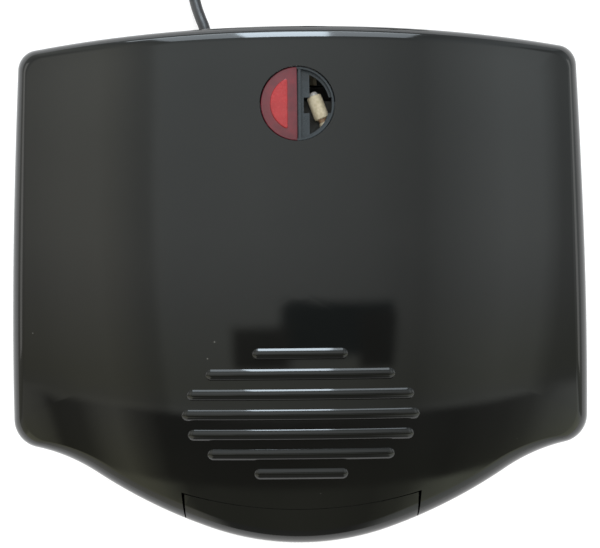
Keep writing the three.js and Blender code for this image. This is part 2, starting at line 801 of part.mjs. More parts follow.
// Bosses, gland and feet holes of the tub.
const lowerPlateBack = baseDeckTop + clearance;
function baseBoss(x, y, top, shoulderTop) {
  let post = bar("z", bossRadius, top, x, y, top / 2, boreSides);
  if (shoulderTop) post = post.add(bar("z", bossRadius + bossShoulder, shoulderTop, x, y,
    shoulderTop / 2, boreSides));
  const bore = bar("z", screwDiameter / 2 + clearance / 2, 2 * screwLength, x, y, top, boreSides);
  return post.intersect(baseOuter).subtract(bore);
}
for (const [x, y] of plateScrewPlaces) {
  baseShell = baseShell.add(baseBoss(x, y, lowerPlateBack - clearance,
    partingHeight - shieldFar - clearance));
}
for (const [x, y] of deckScrewPlaces) {
  baseShell = baseShell.add(baseBoss(x, y, baseDeckTop - deckThickness - clearance));
}
const glandHalf = reliefThick / 2 + glandWall;
const glandBlock = box(reliefX - glandHalf, reliefX + glandHalf, glandFace, farY, footHeight,
  reliefHeight + glandHalf).intersect(baseOuter);
baseShell = baseShell.add(glandBlock);
baseShell = baseShell.subtract(
  bar("y", reliefThick / 2 + clearance, 4 * glandHalf, reliefX, glandFace + glandHalf, reliefHeight,
    pinSides));
const footPlaces = [-1, 1].flatMap((sx) => footY.map((y) => [sx * footX, y]));
for (const [x, y] of footPlaces) {
  baseShell = baseShell.subtract(bar("z", footStud + clearance, 4 * baseWall, x, y, footHeight,
    pinSides));
}
const leadHole = leadDiameter / 2 + clearance;
baseShell = baseShell.subtract(box(leadX - leadHole, leadX + leadHole, troughFrontY - 2 * baseWall,
  troughFrontY + cutOverrun,
  notchFloor, apexHeight));
add(base, "base_shell", baseShell, "gloss");

// Deck frames: the lower one is the upper one turned over about the parting plane.
function slab(shape, near, far, side, curveSegments) {
  const a = partingHeight + side * near;
  const b = partingHeight + side * far;
  return plate(shape, Math.min(a, b), Math.max(a, b), curveSegments);
}

const flangeFar = plateGap / 2 + plateFlange;
const deckNear = flangeFar + clearance;
const deckFar = deckNear + deckThickness;
const deckRearY = troughFrontY - baseWall - clearance;
const bodyCorner = plateCornerRadius - flangeWidth / 2;
const openingShape = roundedShape(
  plateWidth - 2 * flangeWidth + 2 * clearance, plateDepth - 2 * flangeWidth + 2 * clearance,
    bodyCorner, 0, plateCentreY);
const deckSides = [
  { side: 1, name: "lid_deck", parent: lid, screws: "lid_deck_screw_",
    nose: latchCheekDepth + clearance },
  { side: -1, name: "base_deck", parent: base, screws: "base_deck_screw_",
    nose: recessFace + baseWall + clearance },
];
for (const { side, name, parent, screws, nose } of deckSides) {
  let deck = slab(outlineShape(deckInset + 2 * clearance), deckNear, deckFar, side);
  const rim = slab(openingShape, deckNear - cutOverrun, deckFar + cutOverrun, side, 4);
  deck = deck.subtract(rim).intersect(box(-farX, farX, noseFront, deckRearY, 0, apexHeight));
  const noseRoom = box(-openHalf - baseWall - clearance, openHalf + baseWall + clearance,
    noseFront, 0, 0, apexHeight).subtract(plate(outlineShape(nose), 0, apexHeight));
  deck = deck.subtract(noseRoom);
  for (const [x, y] of plateScrewPlaces) {
    deck = deck.subtract(bar("z", bossRadius + clearance, apexHeight, x, y, partingHeight, boreSides));
  }
  deckScrewPlaces.forEach(([x, y], i) => {
    const boreHeight = 4 * deckThickness;
    const middle = partingHeight + (side * (deckNear + deckFar)) / 2;
    deck = deck.subtract(bar("z", screwDiameter / 2 + clearance / 2, boreHeight, x, y, middle,
      boreSides));
    add(parent, screws + (i + 1), screw(x, y, deckNear - clearance / 2, side), "steel");
  });
  add(parent, name, deck, "matte");
}

// Pan head screw whose head lies on the side of the parting plane.
function screw(x, y, seat, side) {
  const height = (near, far) => partingHeight + (side * (near + far)) / 2;
  const head = bar("z", screwHead / 2, screwHeadHeight, x, y, height(seat - screwHeadHeight, seat),
    boreSides);
  const shank = bar("z", screwDiameter / 2, screwLength, x, y, height(seat, seat + screwLength),
    leadSides);
  const cross = box(x - screwHead / 4, x + screwHead / 4, y - clearance, y + clearance,
    partingHeight - apexHeight, partingHeight + apexHeight)
    .intersect(box(x - screwHead, x + screwHead, y - screwHead, y + screwHead,
      height(seat - screwHeadHeight, seat - screwHeadHeight) - screwHeadHeight / 2,
      height(seat - screwHeadHeight, seat - screwHeadHeight) + screwHeadHeight / 2));
  return head.add(shank).subtract(cross);
}

// Corner points of a triangle moved inwards and rounded, as one ring at a height.
function triangleRing(corners, insetBy, round, z) {
  const [a, b, c] = corners;
  const la = b.distanceTo(c);
  const lb = c.distanceTo(a);
  const lc = a.distanceTo(b);
  const cornerSteps = 3;
  const total = la + lb + lc;
  const centre = new THREE.Vector2(
    (la * a.x + lb * b.x + lc * c.x) / total,
    (la * a.y + lb * b.y + lc * c.y) / total,
  );
  const area = Math.abs((b.x - a.x) * (c.y - a.y) - (c.x - a.x) * (b.y - a.y)) / 2;
  const scale = 1 - insetBy / ((2 * area) / total);
  const moved = corners.map((p) => p.clone().sub(centre).multiplyScalar(scale).add(centre));
  const ring = [];
  moved.forEach((p, i) => {
    const before = moved[(i + 2) % 3].clone().sub(p).setLength(round).add(p);
    const after = moved[(i + 1) % 3].clone().sub(p).setLength(round).add(p);
    const curve = new THREE.QuadraticBezierCurve(before, p, after);
    for (const q of curve.getPoints(cornerSteps)) ring.push(new THREE.Vector3(q.x, q.y, z));
  });
  return ring;
}

// Tapered triangular block between two distances from the parting plane.
function wedge(corners, near, nearInset, far, farInset, side) {
  const round = pocketTaper * pocketRoundShare;
  const low = triangleRing(corners, nearInset, round, partingHeight + side * near);
  const high = triangleRing(corners, farInset, round, partingHeight + side * far);
  const rings = side > 0 ? [low, high] : [high, low];
  const pole = (ring) => ring.reduce((sum, p) => sum.add(p), new THREE.Vector3()).divideScalar(ring.length);
  return skin(rings, pole(rings[1]), null, pole(rings[0]));
}

const pocketFar = plateGap / 2 + pocketDepth;
const plateSides = [
  { side: 1, word: "upper", parent: lid },
  { side: -1, word: "lower", parent: base },
];
const sandwichFront = plateCentreY - sandwichDepth / 2;
const sandwichRear = plateCentreY + sandwichDepth / 2;
for (const { side, word, parent } of plateSides) {
  const seat = plateGap / 2;
  let made = slab(roundedShape(plateWidth, plateDepth, plateCornerRadius, 0, plateCentreY), seat,
    flangeFar, side, 3);
  const pockets = [];
  for (const sx of [-1, 1]) {
    const inner = (sx * sandwichSpacing) / 2;
    const outer = inner + sx * sandwichWidth;
    const corners = [
      [new THREE.Vector2(inner, sandwichFront), new THREE.Vector2(outer, sandwichFront),
        new THREE.Vector2(outer, sandwichRear)],
      [new THREE.Vector2(inner, sandwichFront), new THREE.Vector2(outer, sandwichRear),
        new THREE.Vector2(inner, sandwichRear)],
    ];
    for (const triangle of corners) {
      if (sx < 0) triangle.reverse();
      pockets.push(triangle);
    }
  }
  for (const triangle of pockets) {
    made = made.add(wedge(triangle, seat + clearance, pocketMargin - pocketWall,
      pocketFar + pocketWall, pocketMargin + pocketTaper - pocketWall, side));
  }
  for (const triangle of pockets) {
    made = made.subtract(wedge(triangle, -seat, pocketMargin - pocketTaper * (2 * seat) / pocketDepth,
      pocketFar, pocketMargin + pocketTaper, side));
  }
  plateScrewPlaces.forEach(([x, y], i) => {
    const headRoom = screwHeadHeight + clearance;
    const middle = partingHeight + side * (seat + headRoom / 2);
    made = made.subtract(bar("z", screwHead / 2 + clearance, headRoom, x, y, middle, pinSides));
    made = made.subtract(bar("z", screwDiameter / 2 + clearance / 2, apexHeight, x, y, partingHeight,
      boreSides));
    add(parent, word + "_plate_screw_" + (i + 1), screw(x, y, seat + headRoom - clearance / 2, side),
      "steel");
  });
  add(parent, word + "_cooking_plate", made, "coated");
}

// Tube along a smooth curve through the points.
function tube(points, diameter, sides, steps) {
  const circle = new THREE.Shape();
  for (let i = 0; i < sides; i++) {
    const a = (2 * Math.PI * (i + 0.5)) / sides;
    const q = [(diameter / 2) * Math.cos(a), (diameter / 2) * Math.sin(a)];
    if (i === 0) circle.moveTo(...q);
    else circle.lineTo(...q);
  }
  const path = new THREE.CatmullRomCurve3(points.map((p) => new THREE.Vector3(...p)), false,
    "centripetal");
  return solid(new THREE.ExtrudeGeometry(circle, { steps, extrudePath: path, bevelEnabled: false }));
}

// Heating elements, heat shields and the controls on the back of the upper plate.
for (const { side, word, parent } of plateSides) {
  const z = partingHeight + side * (pocketFar + pocketWall + clearance + elementDiameter / 2);
  const w = elementHalfWidth;
  const d = elementHalfDepth;
  const c = elementCorner;
  const right = [
    [elementEndX, d + elementTail], [elementEndX + c * elementTurnShare, d + c * elementBendShare],
      [elementEndX + c, d], [w - c, d],
    [w - c * elementBendShare, d - c * elementBendShare], [w, d - c], [w, c - d],
      [w - c * elementBendShare, c * elementBendShare - d], [w - c, -d], [0, -d],
  ];
  const left = right.slice(0, -1).reverse().map(([x, y]) => [-x, y]);
  const route = [...right, ...left].map(([x, y]) => [x, y + plateCentreY, z]);
  add(parent, word + "_heating_element", tube(route, elementDiameter, elementSides, elementSteps),
    "steel");
  let shield = slab(roundedShape(shieldWidth, shieldDepth, plateCornerRadius, 0, plateCentreY),
    shieldNear, shieldFar, side, 3);
  for (const [x, y] of plateScrewPlaces) {
    shield = shield.subtract(bar("z", bossRadius + clearance, apexHeight, x, y,
      partingHeight + side * shieldFar, boreSides));
  }
  add(parent, word + "_heat_shield", shield, "tin");
}

// Thermostat: a stack of ceramic rings on a screw, under a bimetal blade.
const stackTop = partingHeight + flangeFar + clearance;
const stack = bar("z", thermostatDiameter / 2, thermostatHeight, 0, thermostatY,
  stackTop + thermostatHeight / 2, pinSides);
const blade = box(-thermostatDiameter / 2, thermostatDiameter / 2, thermostatY - thermostatDiameter / 2,
  thermostatY + bladeLength, stackTop + thermostatHeight, stackTop + thermostatHeight + shieldThickness);
add(lid, "thermostat", stack.add(blade), "ceramic");
add(lid, "thermal_fuse", bar("y", fuseDiameter / 2, fuseLength, 0, fuseY,
  stackTop + fuseDiameter / 2, boreSides), "ceramic");

// Lamp holder: a dish under the window with a wall between the lamps.
const dishRadius = windowRadius - clearance;
const dishTop = windowTop - clearance * 2;
const holderBottom = holderSeat - clearance - holderWall;
const dishFloor = dishTop - lensSeatDepth;
let holder = bar("z", dishRadius, dishTop - holderBottom, 0, lampY, (dishTop + holderBottom) / 2,
  dishSides);
holder = holder.add(bar("z", windowRadius + holderWall, holderWall, 0, lampY,
  holderBottom + holderWall / 2, dishSides));
const dishInner = dishRadius - holderWall;
holder = holder.subtract(bar("z", dishInner, 2 * lensSeatDepth, 0, lampY, dishFloor + lensSeatDepth,
  dishSides));
holder = holder.subtract(
  bar("z", dishInner, apexHeight, 0, lampY, dishFloor - holderWall - apexHeight / 2, dishSides));
const dividerHalf = holderWall / 2;
holder = holder.add(box(-dividerHalf, dividerHalf, lampY - dishInner - clearance,
  lampY + dishInner + clearance,
  dishFloor - holderWall, dishTop - clearance));
const round = bar("z", lampWindowRadius, 4 * holderWall, 0, lampY, dishFloor, dishSides);
for (const side of [-1, 1]) {
  const x0 = side * lampWindowX;
  const x1 = side * dishRadius;
  const tall = box(Math.min(x0, x1), Math.max(x0, x1), lampY - dishRadius, lampY + dishRadius, 0,
    apexHeight);
  const notchX = side * lampNotchX;
  const notchEnd = side * (dishInner - clearance);
  const notch = box(Math.min(notchX, notchEnd), Math.max(notchX, notchEnd), lampY + lampNotchLow,
    lampY + lampNotchHigh,
    dishFloor - 2 * holderWall, dishFloor + holderWall);
  holder = holder.subtract(round.intersect(tall).add(notch));
  const slot = box(Math.min(side * lampSlotX, side * windowDiameter), Math.max(side * lampSlotX,
    side * windowDiameter),
    lampY - windowDiameter, lampY - lampSlotY, 0, dishFloor - holderWall);
  holder = holder.subtract(slot);
}
const lampHeight = dishFloor - holderWall - clearance - sleeveDiameter / 2;
const shelfTop = lampHeight - sleeveDiameter / 2 - clearance;
const shelfBand = box(-dishRadius, dishRadius, lampY + lampShift - lampShelfWidth / 2,
  lampY + lampShift + lampShelfWidth / 2,
  shelfTop - holderWall, holderBottom + holderWall);
const shelfInside = bar("z", dishInner, apexHeight, 0, lampY, shelfTop + apexHeight / 2, dishSides);
const shelf = bar("z", dishRadius, apexHeight, 0, lampY, windowTop,
  dishSides).intersect(shelfBand).subtract(shelfInside);
add(lid, "lamp_holder", holder.add(shelf), "holder");

// Red half-moon lens on the left, with a raised half-moon in its middle.
const lensRadius = dishInner - lensGap;
const leftHalf = box(-windowRadius, -dividerHalf - lensGap, lampY - windowRadius,
  lampY + windowRadius, 0, apexHeight);
const lensLow = dishFloor + clearance;
const lens = bar("z", lensRadius, lensThickness, 0, lampY, lensLow + lensThickness / 2,
  windowSides).intersect(leftHalf);
const padRoom = box(-windowRadius, -lensPadX, lampY - windowRadius, lampY + windowRadius, 0, apexHeight);
const pad = bar("z", lensPadRadius, lensThickness + lensPadRise, 0, lampY,
  lensLow + (lensThickness + lensPadRise) / 2, dishSides);
add(lid, "red_lens", lens.add(pad.intersect(padRoom)), "lens");

// Neon lamps in woven sleeves under the holder's floor.
for (const [name, side, tilt] of [["power_lamp", -1, 0], ["ready_lamp", 1, lampTilt]]) {
  const body = new THREE.CylinderGeometry(lampDiameter / 2, lampDiameter / 2, lampLength, pinSides);
  const outer = new THREE.CylinderGeometry(sleeveDiameter / 2, sleeveDiameter / 2, sleeveLength,
    pinSides);
  const bore = new THREE.CylinderGeometry(lampDiameter / 2 + clearance, lampDiameter / 2 + clearance,
    lampLength * 2, pinSides);
  for (const g of [body, outer, bore]) {
    if (g === body) g.translate(0, -lampPeek, 0);
    g.rotateZ(tilt);
    g.translate(side * lampX, lampY + lampShift, lampHeight);
  }
  add(lid, name, solid(body), "glass");
  add(lid, name + "_sleeve", solid(outer).subtract(solid(bore)), "sleeve");
}

// Rubber feet, each with a stud and a barb through the tub's floor.
const footBarb = footStud + 4 * clearance;
footPlaces.forEach(([x, y], i) => {
  const inside = footHeight + baseWall + clearance;
  const profile = [
    [0, 0], [footRadius - footEdge, 0], [footRadius, footEdge], [footRadius - clearance,
      footHeight - clearance],
    [footStud, footHeight - clearance], [footStud, inside], [footBarb, inside],
    [footStud - clearance, inside + footBarb / 2], [0, inside + footBarb / 2],
  ].map(([r, z]) => new THREE.Vector2(r, z));
  const made = new THREE.LatheGeometry(profile, pinSides).rotateX(Math.PI / 2).translate(x, y, 0);
  add(base, "rubber_foot_" + (i + 1), solid(made), "rubber");
});

// Lead gland, clamp and terminal block.
const flangeBack = glandFace - clearance;
const reliefProfile = [
  [0, flangeBack - 2 * baseWall], [reliefThick / 2 + reliefFlange, flangeBack - 2 * baseWall],
  [reliefThick / 2 + reliefFlange, flangeBack], [reliefThick / 2, flangeBack],
  [reliefThick / 2, glandFace + glandHalf], [reliefThin / 2, reliefTipY], [0, reliefTipY],
].map(([r, y]) => new THREE.Vector2(r, y));
const relief = new THREE.LatheGeometry(reliefProfile, pinSides).translate(reliefX, 0, reliefHeight);
add(base, "cord_strain_relief", solid(relief), "rubber");
const blockRear = blockY + blockDepth / 2;
const floorInside = footHeight + baseWall + clearance;
add(base, "terminal_block", box(reliefX - blockWidth / 2, reliefX + blockWidth / 2,
  blockY - blockDepth / 2, blockRear,
  floorInside, floorInside + blockHeight), "ceramic");
const innerLeadLength = flangeBack - 2 * baseWall - clearance - (blockRear + clearance);
add(base, "inner_lead", bar("y", cordDiameter / 2, innerLeadLength, reliefX,
  blockRear + clearance + innerLeadLength / 2, reliefHeight, leadSides), "rubber");

// Lead to the upper plate, in two sleeves that meet on the hinge axis.
const leadStep = leadDiameter / 2;
const leadRoute = [
  [leadX, troughFrontY - leadRun, notchFloor + leadStep + 2 * clearance],
  [leadX, troughFrontY, notchFloor + leadStep + 2 * clearance],
  [leadX, hingeY - leadStep, partingHeight - leadStep],
  [leadX + leadStep, hingeY, partingHeight],
  [leadX + leadRun, hingeY, partingHeight],
];
add(base, "base_lead_sleeve", tube(leadRoute, leadDiameter, leadSides, sleeveSteps), "sleeve");
const meetX = leadX + leadRun + clearance;
const lidLeadRoute = [
  [meetX, hingeY, partingHeight],
  [meetX + leadRun - leadStep, hingeY, partingHeight],
  [meetX + leadRun, hingeY - leadStep / 2, partingHeight + leadStep],
  [meetX + leadRun, hingeY - 2 * leadStep, partingHeight + leadRun + leadStep],
  [meetX + leadRun, hingeY - 4 * leadStep, partingHeight + 2 * leadRun],
];
add(lid, "lid_lead_sleeve", tube(lidLeadRoute, leadDiameter, leadSides, sleeveSteps), "sleeve");

// Free stretch of the lead from the body to the floor.
function between(start, end, shares) {
  return shares.map(({ along, across, drop }) => [
    start[0] + (end[0] - start[0]) * across,
    start[1] + (end[1] - start[1]) * along,
    start[2] + (end[2] - start[2]) * drop,
  ]);
}
const coilFloor = cordDiameter / 2;
const coilStartX = coilX - coilOuterRadius;
const cordStart = [reliefX, reliefTipY + clearance, reliefHeight];
const cordEnd = [coilStartX, coilY - cordDiameter - clearance, coilFloor];
add(base, "power_cord", tube([cordStart, ...between(cordStart, cordEnd, cordRouteShares), cordEnd],
  cordDiameter, leadSides, cordSteps),
  "rubber");

// Coil of the lead: inwards, up one layer while it turns back, and outwards.
const coilPoints = [new THREE.Vector3(coilStartX, coilY - cordDiameter, coilFloor)];
const coilSteps = Math.round(coilTurns * coilStepsPerTurn);
for (let i = 0; i <= coilSteps; i++) {
  const turn = (coilTurns * i) / coilSteps;
  const climb = THREE.MathUtils.clamp((turn - (coilTurns - coilClimbTurns) / 2) / coilClimbTurns, 0, 1);
  const radius = coilOuterRadius - coilPitch * (coilTurns / 2 - Math.abs(turn - coilTurns / 2));
  const angle = Math.PI - 2 * Math.PI * turn;
  const rise = (coilPitch * (1 - Math.cos(Math.PI * climb))) / 2;
  coilPoints.push(new THREE.Vector3(
    coilX + radius * Math.cos(angle), coilY + radius * Math.sin(angle), coilFloor + rise));
}
const last = coilPoints[coilPoints.length - 1];
coilPoints.push(new THREE.Vector3(last.x + cordDiameter, last.y, last.z));

function sweep(points, radius, sides) {
  const rings = points.map((p, i) => {
    const before = points[Math.max(i - 1, 0)];
    const after = points[Math.min(i + 1, points.length - 1)];
    const ahead = after.clone().sub(before);
    if (i === 0 || i === points.length - 1) ahead.copy(i ? p : after).sub(i ? before : p);
    ahead.normalize();
    const across = new THREE.Vector3().crossVectors(ahead, new THREE.Vector3(0, 0, 1)).normalize();
    const up = new THREE.Vector3().crossVectors(across, ahead);
    return Array.from({ length: sides }, (_, k) => {
      const a = (2 * Math.PI * k) / sides;
      return p.clone().addScaledVector(across, radius * Math.cos(a)).addScaledVector(up,
        radius * Math.sin(a));
    });
  });
  return skin(rings.reverse(), points[0], null, points[points.length - 1]);
}
add(base, "power_cord_coil", sweep(coilPoints, cordDiameter / 2, coilSides), "rubber");

// Least gap of the coil to itself, between points more than half a turn apart along it.
let leastGap = Infinity;
coilPoints.forEach((p, i) => {
  coilPoints.slice(i + coilStepsPerTurn / 2 + 1).forEach((q) => {
    leastGap = Math.min(leastGap, p.distanceTo(q) - cordDiameter);
  });
});
console.log("least gap in the coil " + leastGap.toFixed(2) + " mm");

// Plug: an angled body lying on its back with its pins up.
const plugY = last.y - plugShift;
const plugRadius = plugDiscDiameter / 2;
const bootEnd = plugRadius + bootLength;
const tailStart = [last.x + cordDiameter + clearance, last.y, last.z];
const tailEnd = [plugX - bootEnd - clearance, plugY, bootHeight];
const tailPoints = tailRouteShares.map(({ along, across, drop }) => [
  tailStart[0] + (tailEnd[0] - tailStart[0]) * along,
  tailStart[1] + (tailEnd[1] - tailStart[1]) * across,
  tailStart[2] + (tailEnd[2] - tailStart[2]) * drop,
]);
add(base, "power_cord_tail", tube([tailStart, ...tailPoints, tailEnd], cordDiameter, leadSides,
  tailSteps), "rubber");
const plugProfile = [
  [0, 0], [plugRadius - plugEdge, 0], [plugRadius, plugFoot], [plugRadius, plugDiscHeight - plugEdge],
  [plugRadius - plugEdge, plugDiscHeight], [0, plugDiscHeight],
].map(([r, z]) => new THREE.Vector2(r, z));
const disc = solid(
  new THREE.LatheGeometry(plugProfile, plugSides).rotateX(Math.PI / 2).translate(plugX, plugY, 0));
const bootProfile = [
  [0, -bootEnd], [bootThin / 2, -bootEnd], [bootThick / 2, -plugRadius - bootCollar], [bootThick / 2,
    0], [0, 0],
].map(([r, y]) => new THREE.Vector2(r, y));
const boot = solid(
  new THREE.LatheGeometry(bootProfile, pinSides).rotateZ(-Math.PI / 2).translate(plugX, plugY, bootHeight));
const clipHalf = plugPinDiameter / 2;
const clipX = plugX + plugRadius - earthClipDepth;
const clipRoom = box(clipX, plugX + plugDiscDiameter, plugY - clipHalf - clearance,
  plugY + clipHalf + clearance,
  plugFoot, apexHeight);
add(base, "plug_body", disc.add(boot).subtract(clipRoom), "rubber");
add(base, "plug_earth_clip", box(clipX + clearance, plugX + plugRadius, plugY - clipHalf,
  plugY + clipHalf, plugFoot + clearance, plugDiscHeight - clearance), "steel");
for (const [name, side] of [["plug_pin_left", -1], ["plug_pin_right", 1]]) {
  const y = plugY + (side * plugPinSpacing) / 2;
  const bottom = plugDiscHeight + clearance;
  add(base, name, bar("z", plugPinDiameter / 2, plugPinLength, plugX, y, bottom + plugPinLength / 2,
    boreSides), "steel");
}

export default group;
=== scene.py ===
import json
import math

import bmesh
import bpy
from mathutils import Matrix, Vector


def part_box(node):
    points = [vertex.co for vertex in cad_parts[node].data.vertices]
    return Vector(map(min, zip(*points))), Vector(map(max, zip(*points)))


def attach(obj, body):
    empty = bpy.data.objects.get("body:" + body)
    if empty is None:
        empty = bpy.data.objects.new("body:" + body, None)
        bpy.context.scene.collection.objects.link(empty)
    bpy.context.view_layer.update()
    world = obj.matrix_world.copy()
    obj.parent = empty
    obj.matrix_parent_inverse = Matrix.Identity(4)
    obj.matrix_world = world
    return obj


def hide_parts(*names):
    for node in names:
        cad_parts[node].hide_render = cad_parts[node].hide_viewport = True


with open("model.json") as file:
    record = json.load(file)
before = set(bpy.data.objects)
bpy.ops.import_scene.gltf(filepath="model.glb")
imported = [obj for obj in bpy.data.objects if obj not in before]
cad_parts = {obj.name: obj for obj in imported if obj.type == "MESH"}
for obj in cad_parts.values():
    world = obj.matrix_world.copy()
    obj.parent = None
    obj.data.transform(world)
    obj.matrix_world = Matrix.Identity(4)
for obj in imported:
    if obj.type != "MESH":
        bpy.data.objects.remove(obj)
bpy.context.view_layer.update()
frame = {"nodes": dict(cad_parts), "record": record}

scene = bpy.context.scene
scene.view_settings.view_transform = "Standard"

# The photograph looks straight down on the closed machine.
# A pinhole camera stands half a metre over its middle, turned a little about its line of sight.
camera_place = (0.0003, 0.00685, 0.4958)
camera_turn = math.radians(-0.6)
camera = bpy.data.objects.new("camera", bpy.data.cameras.new("camera"))
camera.data.lens = 64.6
camera.data.sensor_width = 36
camera.data.clip_start = 0.01
camera.location = camera_place
camera.rotation_euler = (0, 0, camera_turn)
scene.collection.objects.link(camera)
scene.camera = camera


def add_node(tree, kind, inputs=(), **settings):
    """Adds a shader node, with its inputs linked or set."""
    node = tree.nodes.new("ShaderNode" + kind)
    for name, value in settings.items():
        setattr(node, name, value)
    for name, value in inputs:
        if isinstance(value, bpy.types.NodeSocket):
            tree.links.new(value, node.inputs[name])
        else:
            node.inputs[name].default_value = value
    return node


# Soft studio light: a plain pale room, a large lamp overhead and one at each side.
# Behind the hinge stand a bluish window with its curtain and a long low strip.
# The room is white to the eye and in reflections, and gives an even fill.
fill_level, white_level = 0.5, 1.0
room = bpy.data.worlds.new("room")
room.use_nodes = True
room.node_tree.nodes.clear()


def seen_level(tree, other, seen):
    """One level for what the eye, a reflection or a clear piece sees, and another for the light it gives."""
    rays = add_node(tree, "LightPath").outputs
    share = add_node(tree, "Math", [(0, rays["Is Camera Ray"]), (1, rays["Is Glossy Ray"])], operation="MAXIMUM")
    share = add_node(tree, "Math", [(0, share.outputs[0]), (1, rays["Is Transmission Ray"])], operation="MAXIMUM")
    return add_node(tree, "MapRange", [("Value", share.outputs[0]), ("To Min", other), ("To Max", seen)])


level = seen_level(room.node_tree, fill_level, white_level)
sky = add_node(room.node_tree, "Background", [("Color", (1, 1, 1, 1)), ("Strength", level.outputs[0])])
add_node(room.node_tree, "OutputWorld", [("Surface", sky.outputs[0])])
scene.world = room

for name, place, aim, size, power, colour in [
    ("overhead_lamp", (0.0, 0.0, 2.2), (0, 0, 0), (1.6, 1.6), 30.0, (1.0, 0.99, 0.97)),
    ("left_lamp", (-2.1, 0.3, 0.75), (0, 0, 0.05), (1.8, 0.5), 3.0, (1.0, 0.98, 0.95)),
    ("right_lamp", (2.1, 0.2, 0.75), (0, 0, 0.05), (1.8, 0.5), 3.0, (1.0, 0.98, 0.95)),
    ("rear_window", (-0.05, 1.45, 0.85), (0, 0, 0.05), (0.34, 0.9), 12.0, (0.76, 0.89, 1.0)),
    ("rear_curtain", (-0.05, 1.5, 0.88), (0, 0, 0.05), (1.1, 0.9), 11.0, (0.82, 0.92, 1.0)),
    ("rear_strip_lamp", (-0.1, 1.7, 0.4), (0, 0.1, 0.08), (1.2, 0.12), 3.0, (0.85, 0.93, 1.0)),
]:
    lamp = bpy.data.lights.new(name, "AREA")
    lamp.shape = "RECTANGLE"
    lamp.size, lamp.size_y = size
    lamp.energy = power
    lamp.color = colour
    holder = bpy.data.objects.new(name, lamp)
    holder.location = place
    holder.rotation_euler = (Vector(aim) - Vector(place)).to_track_quat("-Z", "Y").to_euler()
    holder.visible_glossy = name != "overhead_lamp"
    scene.collection.objects.link(holder)


def shade(bm, sharp_degrees):
    """Smooth shading but for sharp edges."""
    for face in bm.faces:
        face.smooth = True
    for edge in bm.edges:
        edge.smooth = len(edge.link_faces) == 2 and edge.calc_face_angle(0) < math.radians(sharp_degrees)


def place_in_row(part):
    """Number that puts edges and faces in a fixed order, by their vertices."""
    low, middle, *rest = sorted(vert.index for vert in part.verts)
    return (low * 100000 + middle) * 100000 + (rest[0] if rest else 0)


def make_piece(name, bm, body, material, sharp_degrees=35):
    """Turns a bmesh into a piece that rides on a body. Its parts are in a fixed order, so that cuts come out alike."""
    bm.verts.index_update()
    bm.edges.sort(key=place_in_row)
    bm.faces.sort(key=place_in_row)
    shade(bm, sharp_degrees)
    mesh = bpy.data.meshes.new(name)
    bm.to_mesh(mesh)
    bm.free()
    piece = bpy.data.objects.new(name, mesh)
    scene.collection.objects.link(piece)
    if material:
        mesh.materials.append(material)
    if body:
        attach(piece, body)
    return piece


def grained(name, colour, second_colour, roughness, patch_scale=30.0, grain_scale=2500.0, grain_depth=0.00001,
            metallic=0.0, **sockets):
    """A moulded or coated finish: two close tones in soft patches, uneven gloss and a fine grain."""
    material = bpy.data.materials.new(name)
    material.use_nodes = True
    tree = material.node_tree
    shader = tree.nodes["Principled BSDF"]
    place = add_node(tree, "TexCoord").outputs["Object"]
    patches = add_node(tree, "TexNoise", [("Vector", place), ("Scale", patch_scale), ("Detail", 4.0)])
    ramp = add_node(tree, "ValToRGB", [("Fac", patches.outputs[0])])
    ramp.color_ramp.elements[0].position = 0.3
    ramp.color_ramp.elements[0].color = (*colour, 1)
    ramp.color_ramp.elements[1].position = 0.7
    ramp.color_ramp.elements[1].color = (*second_colour, 1)
    tree.links.new(ramp.outputs[0], shader.inputs["Base Color"])
    smears = add_node(tree, "TexNoise", [("Vector", place), ("Scale", patch_scale * 2.3), ("Detail", 6.0)])
    gloss = add_node(tree, "MapRange", [("Value", smears.outputs[0]), ("From Min", 0.3), ("From Max", 0.7),
                                        ("To Min", roughness[0]), ("To Max", roughness[1])])
    tree.links.new(gloss.outputs[0], shader.inputs["Roughness"])
    grain = add_node(tree, "TexNoise", [("Vector", place), ("Scale", grain_scale), ("Detail", 2.0)])
    bump = add_node(tree, "Bump", [("Height", grain.outputs[0]), ("Distance", grain_depth), ("Strength", 0.5)])
    tree.links.new(bump.outputs[0], shader.inputs["Normal"])
    shader.inputs["Metallic"].default_value = metallic
    for socket, value in sockets.items():
        shader.inputs[socket.replace("_", " ")].default_value = value
    return material


# Table top under the machine: a plain white laminate that takes its shadow.
# It isn't part of the machine.
table_size, table_glow = 6.0, 0.62
table_white = grained("white_laminate", (0.5, 0.5, 0.5), (0.48, 0.48, 0.48), (0.75, 0.85), patch_scale=3.0)
table_tree = table_white.node_tree
table_glows = seen_level(table_tree, 0.0, table_glow)
table_shader = table_tree.nodes["Principled BSDF"]
table_shader.inputs["Emission Color"].default_value = (1, 1, 1, 1)
table_tree.links.new(table_glows.outputs[0], table_shader.inputs["Emission Strength"])
table_mesh = bmesh.new()
bmesh.ops.create_grid(table_mesh, x_segments=1, y_segments=1, size=table_size / 2)
table_top = make_piece("table_top", table_mesh, None, table_white)

# Ceiling and walls of the room, which the polished lid mirrors: paler towards the hinge and at the sides, and
# darker in front. Three dark panels hang over the front half of the table.
# None of it is part of the machine.
ceiling_height, ceiling_level = 2.4, 1.75
room_width, room_depth = (-3.4, 3.4), (-4.2, 2.4)
front_row_end, front_row_start, nose_row_end, nose_row_start = -1.62, -1.48, -2.6, -2.45
panel_fade_across, panel_fade_along = 0.05, 0.06
ceiling_low, ceiling_high = Vector((room_width[0], room_depth[0])), Vector((room_width[1], room_depth[1]))
ceiling_paint = bpy.data.materials.new("ceiling_paint")
ceiling_paint.use_nodes = True
ceiling_tree = ceiling_paint.node_tree
ceiling_tree.nodes.clear()
ceiling_axes = add_node(ceiling_tree, "SeparateXYZ", [("Vector", add_node(ceiling_tree, "TexCoord").outputs["Object"])])


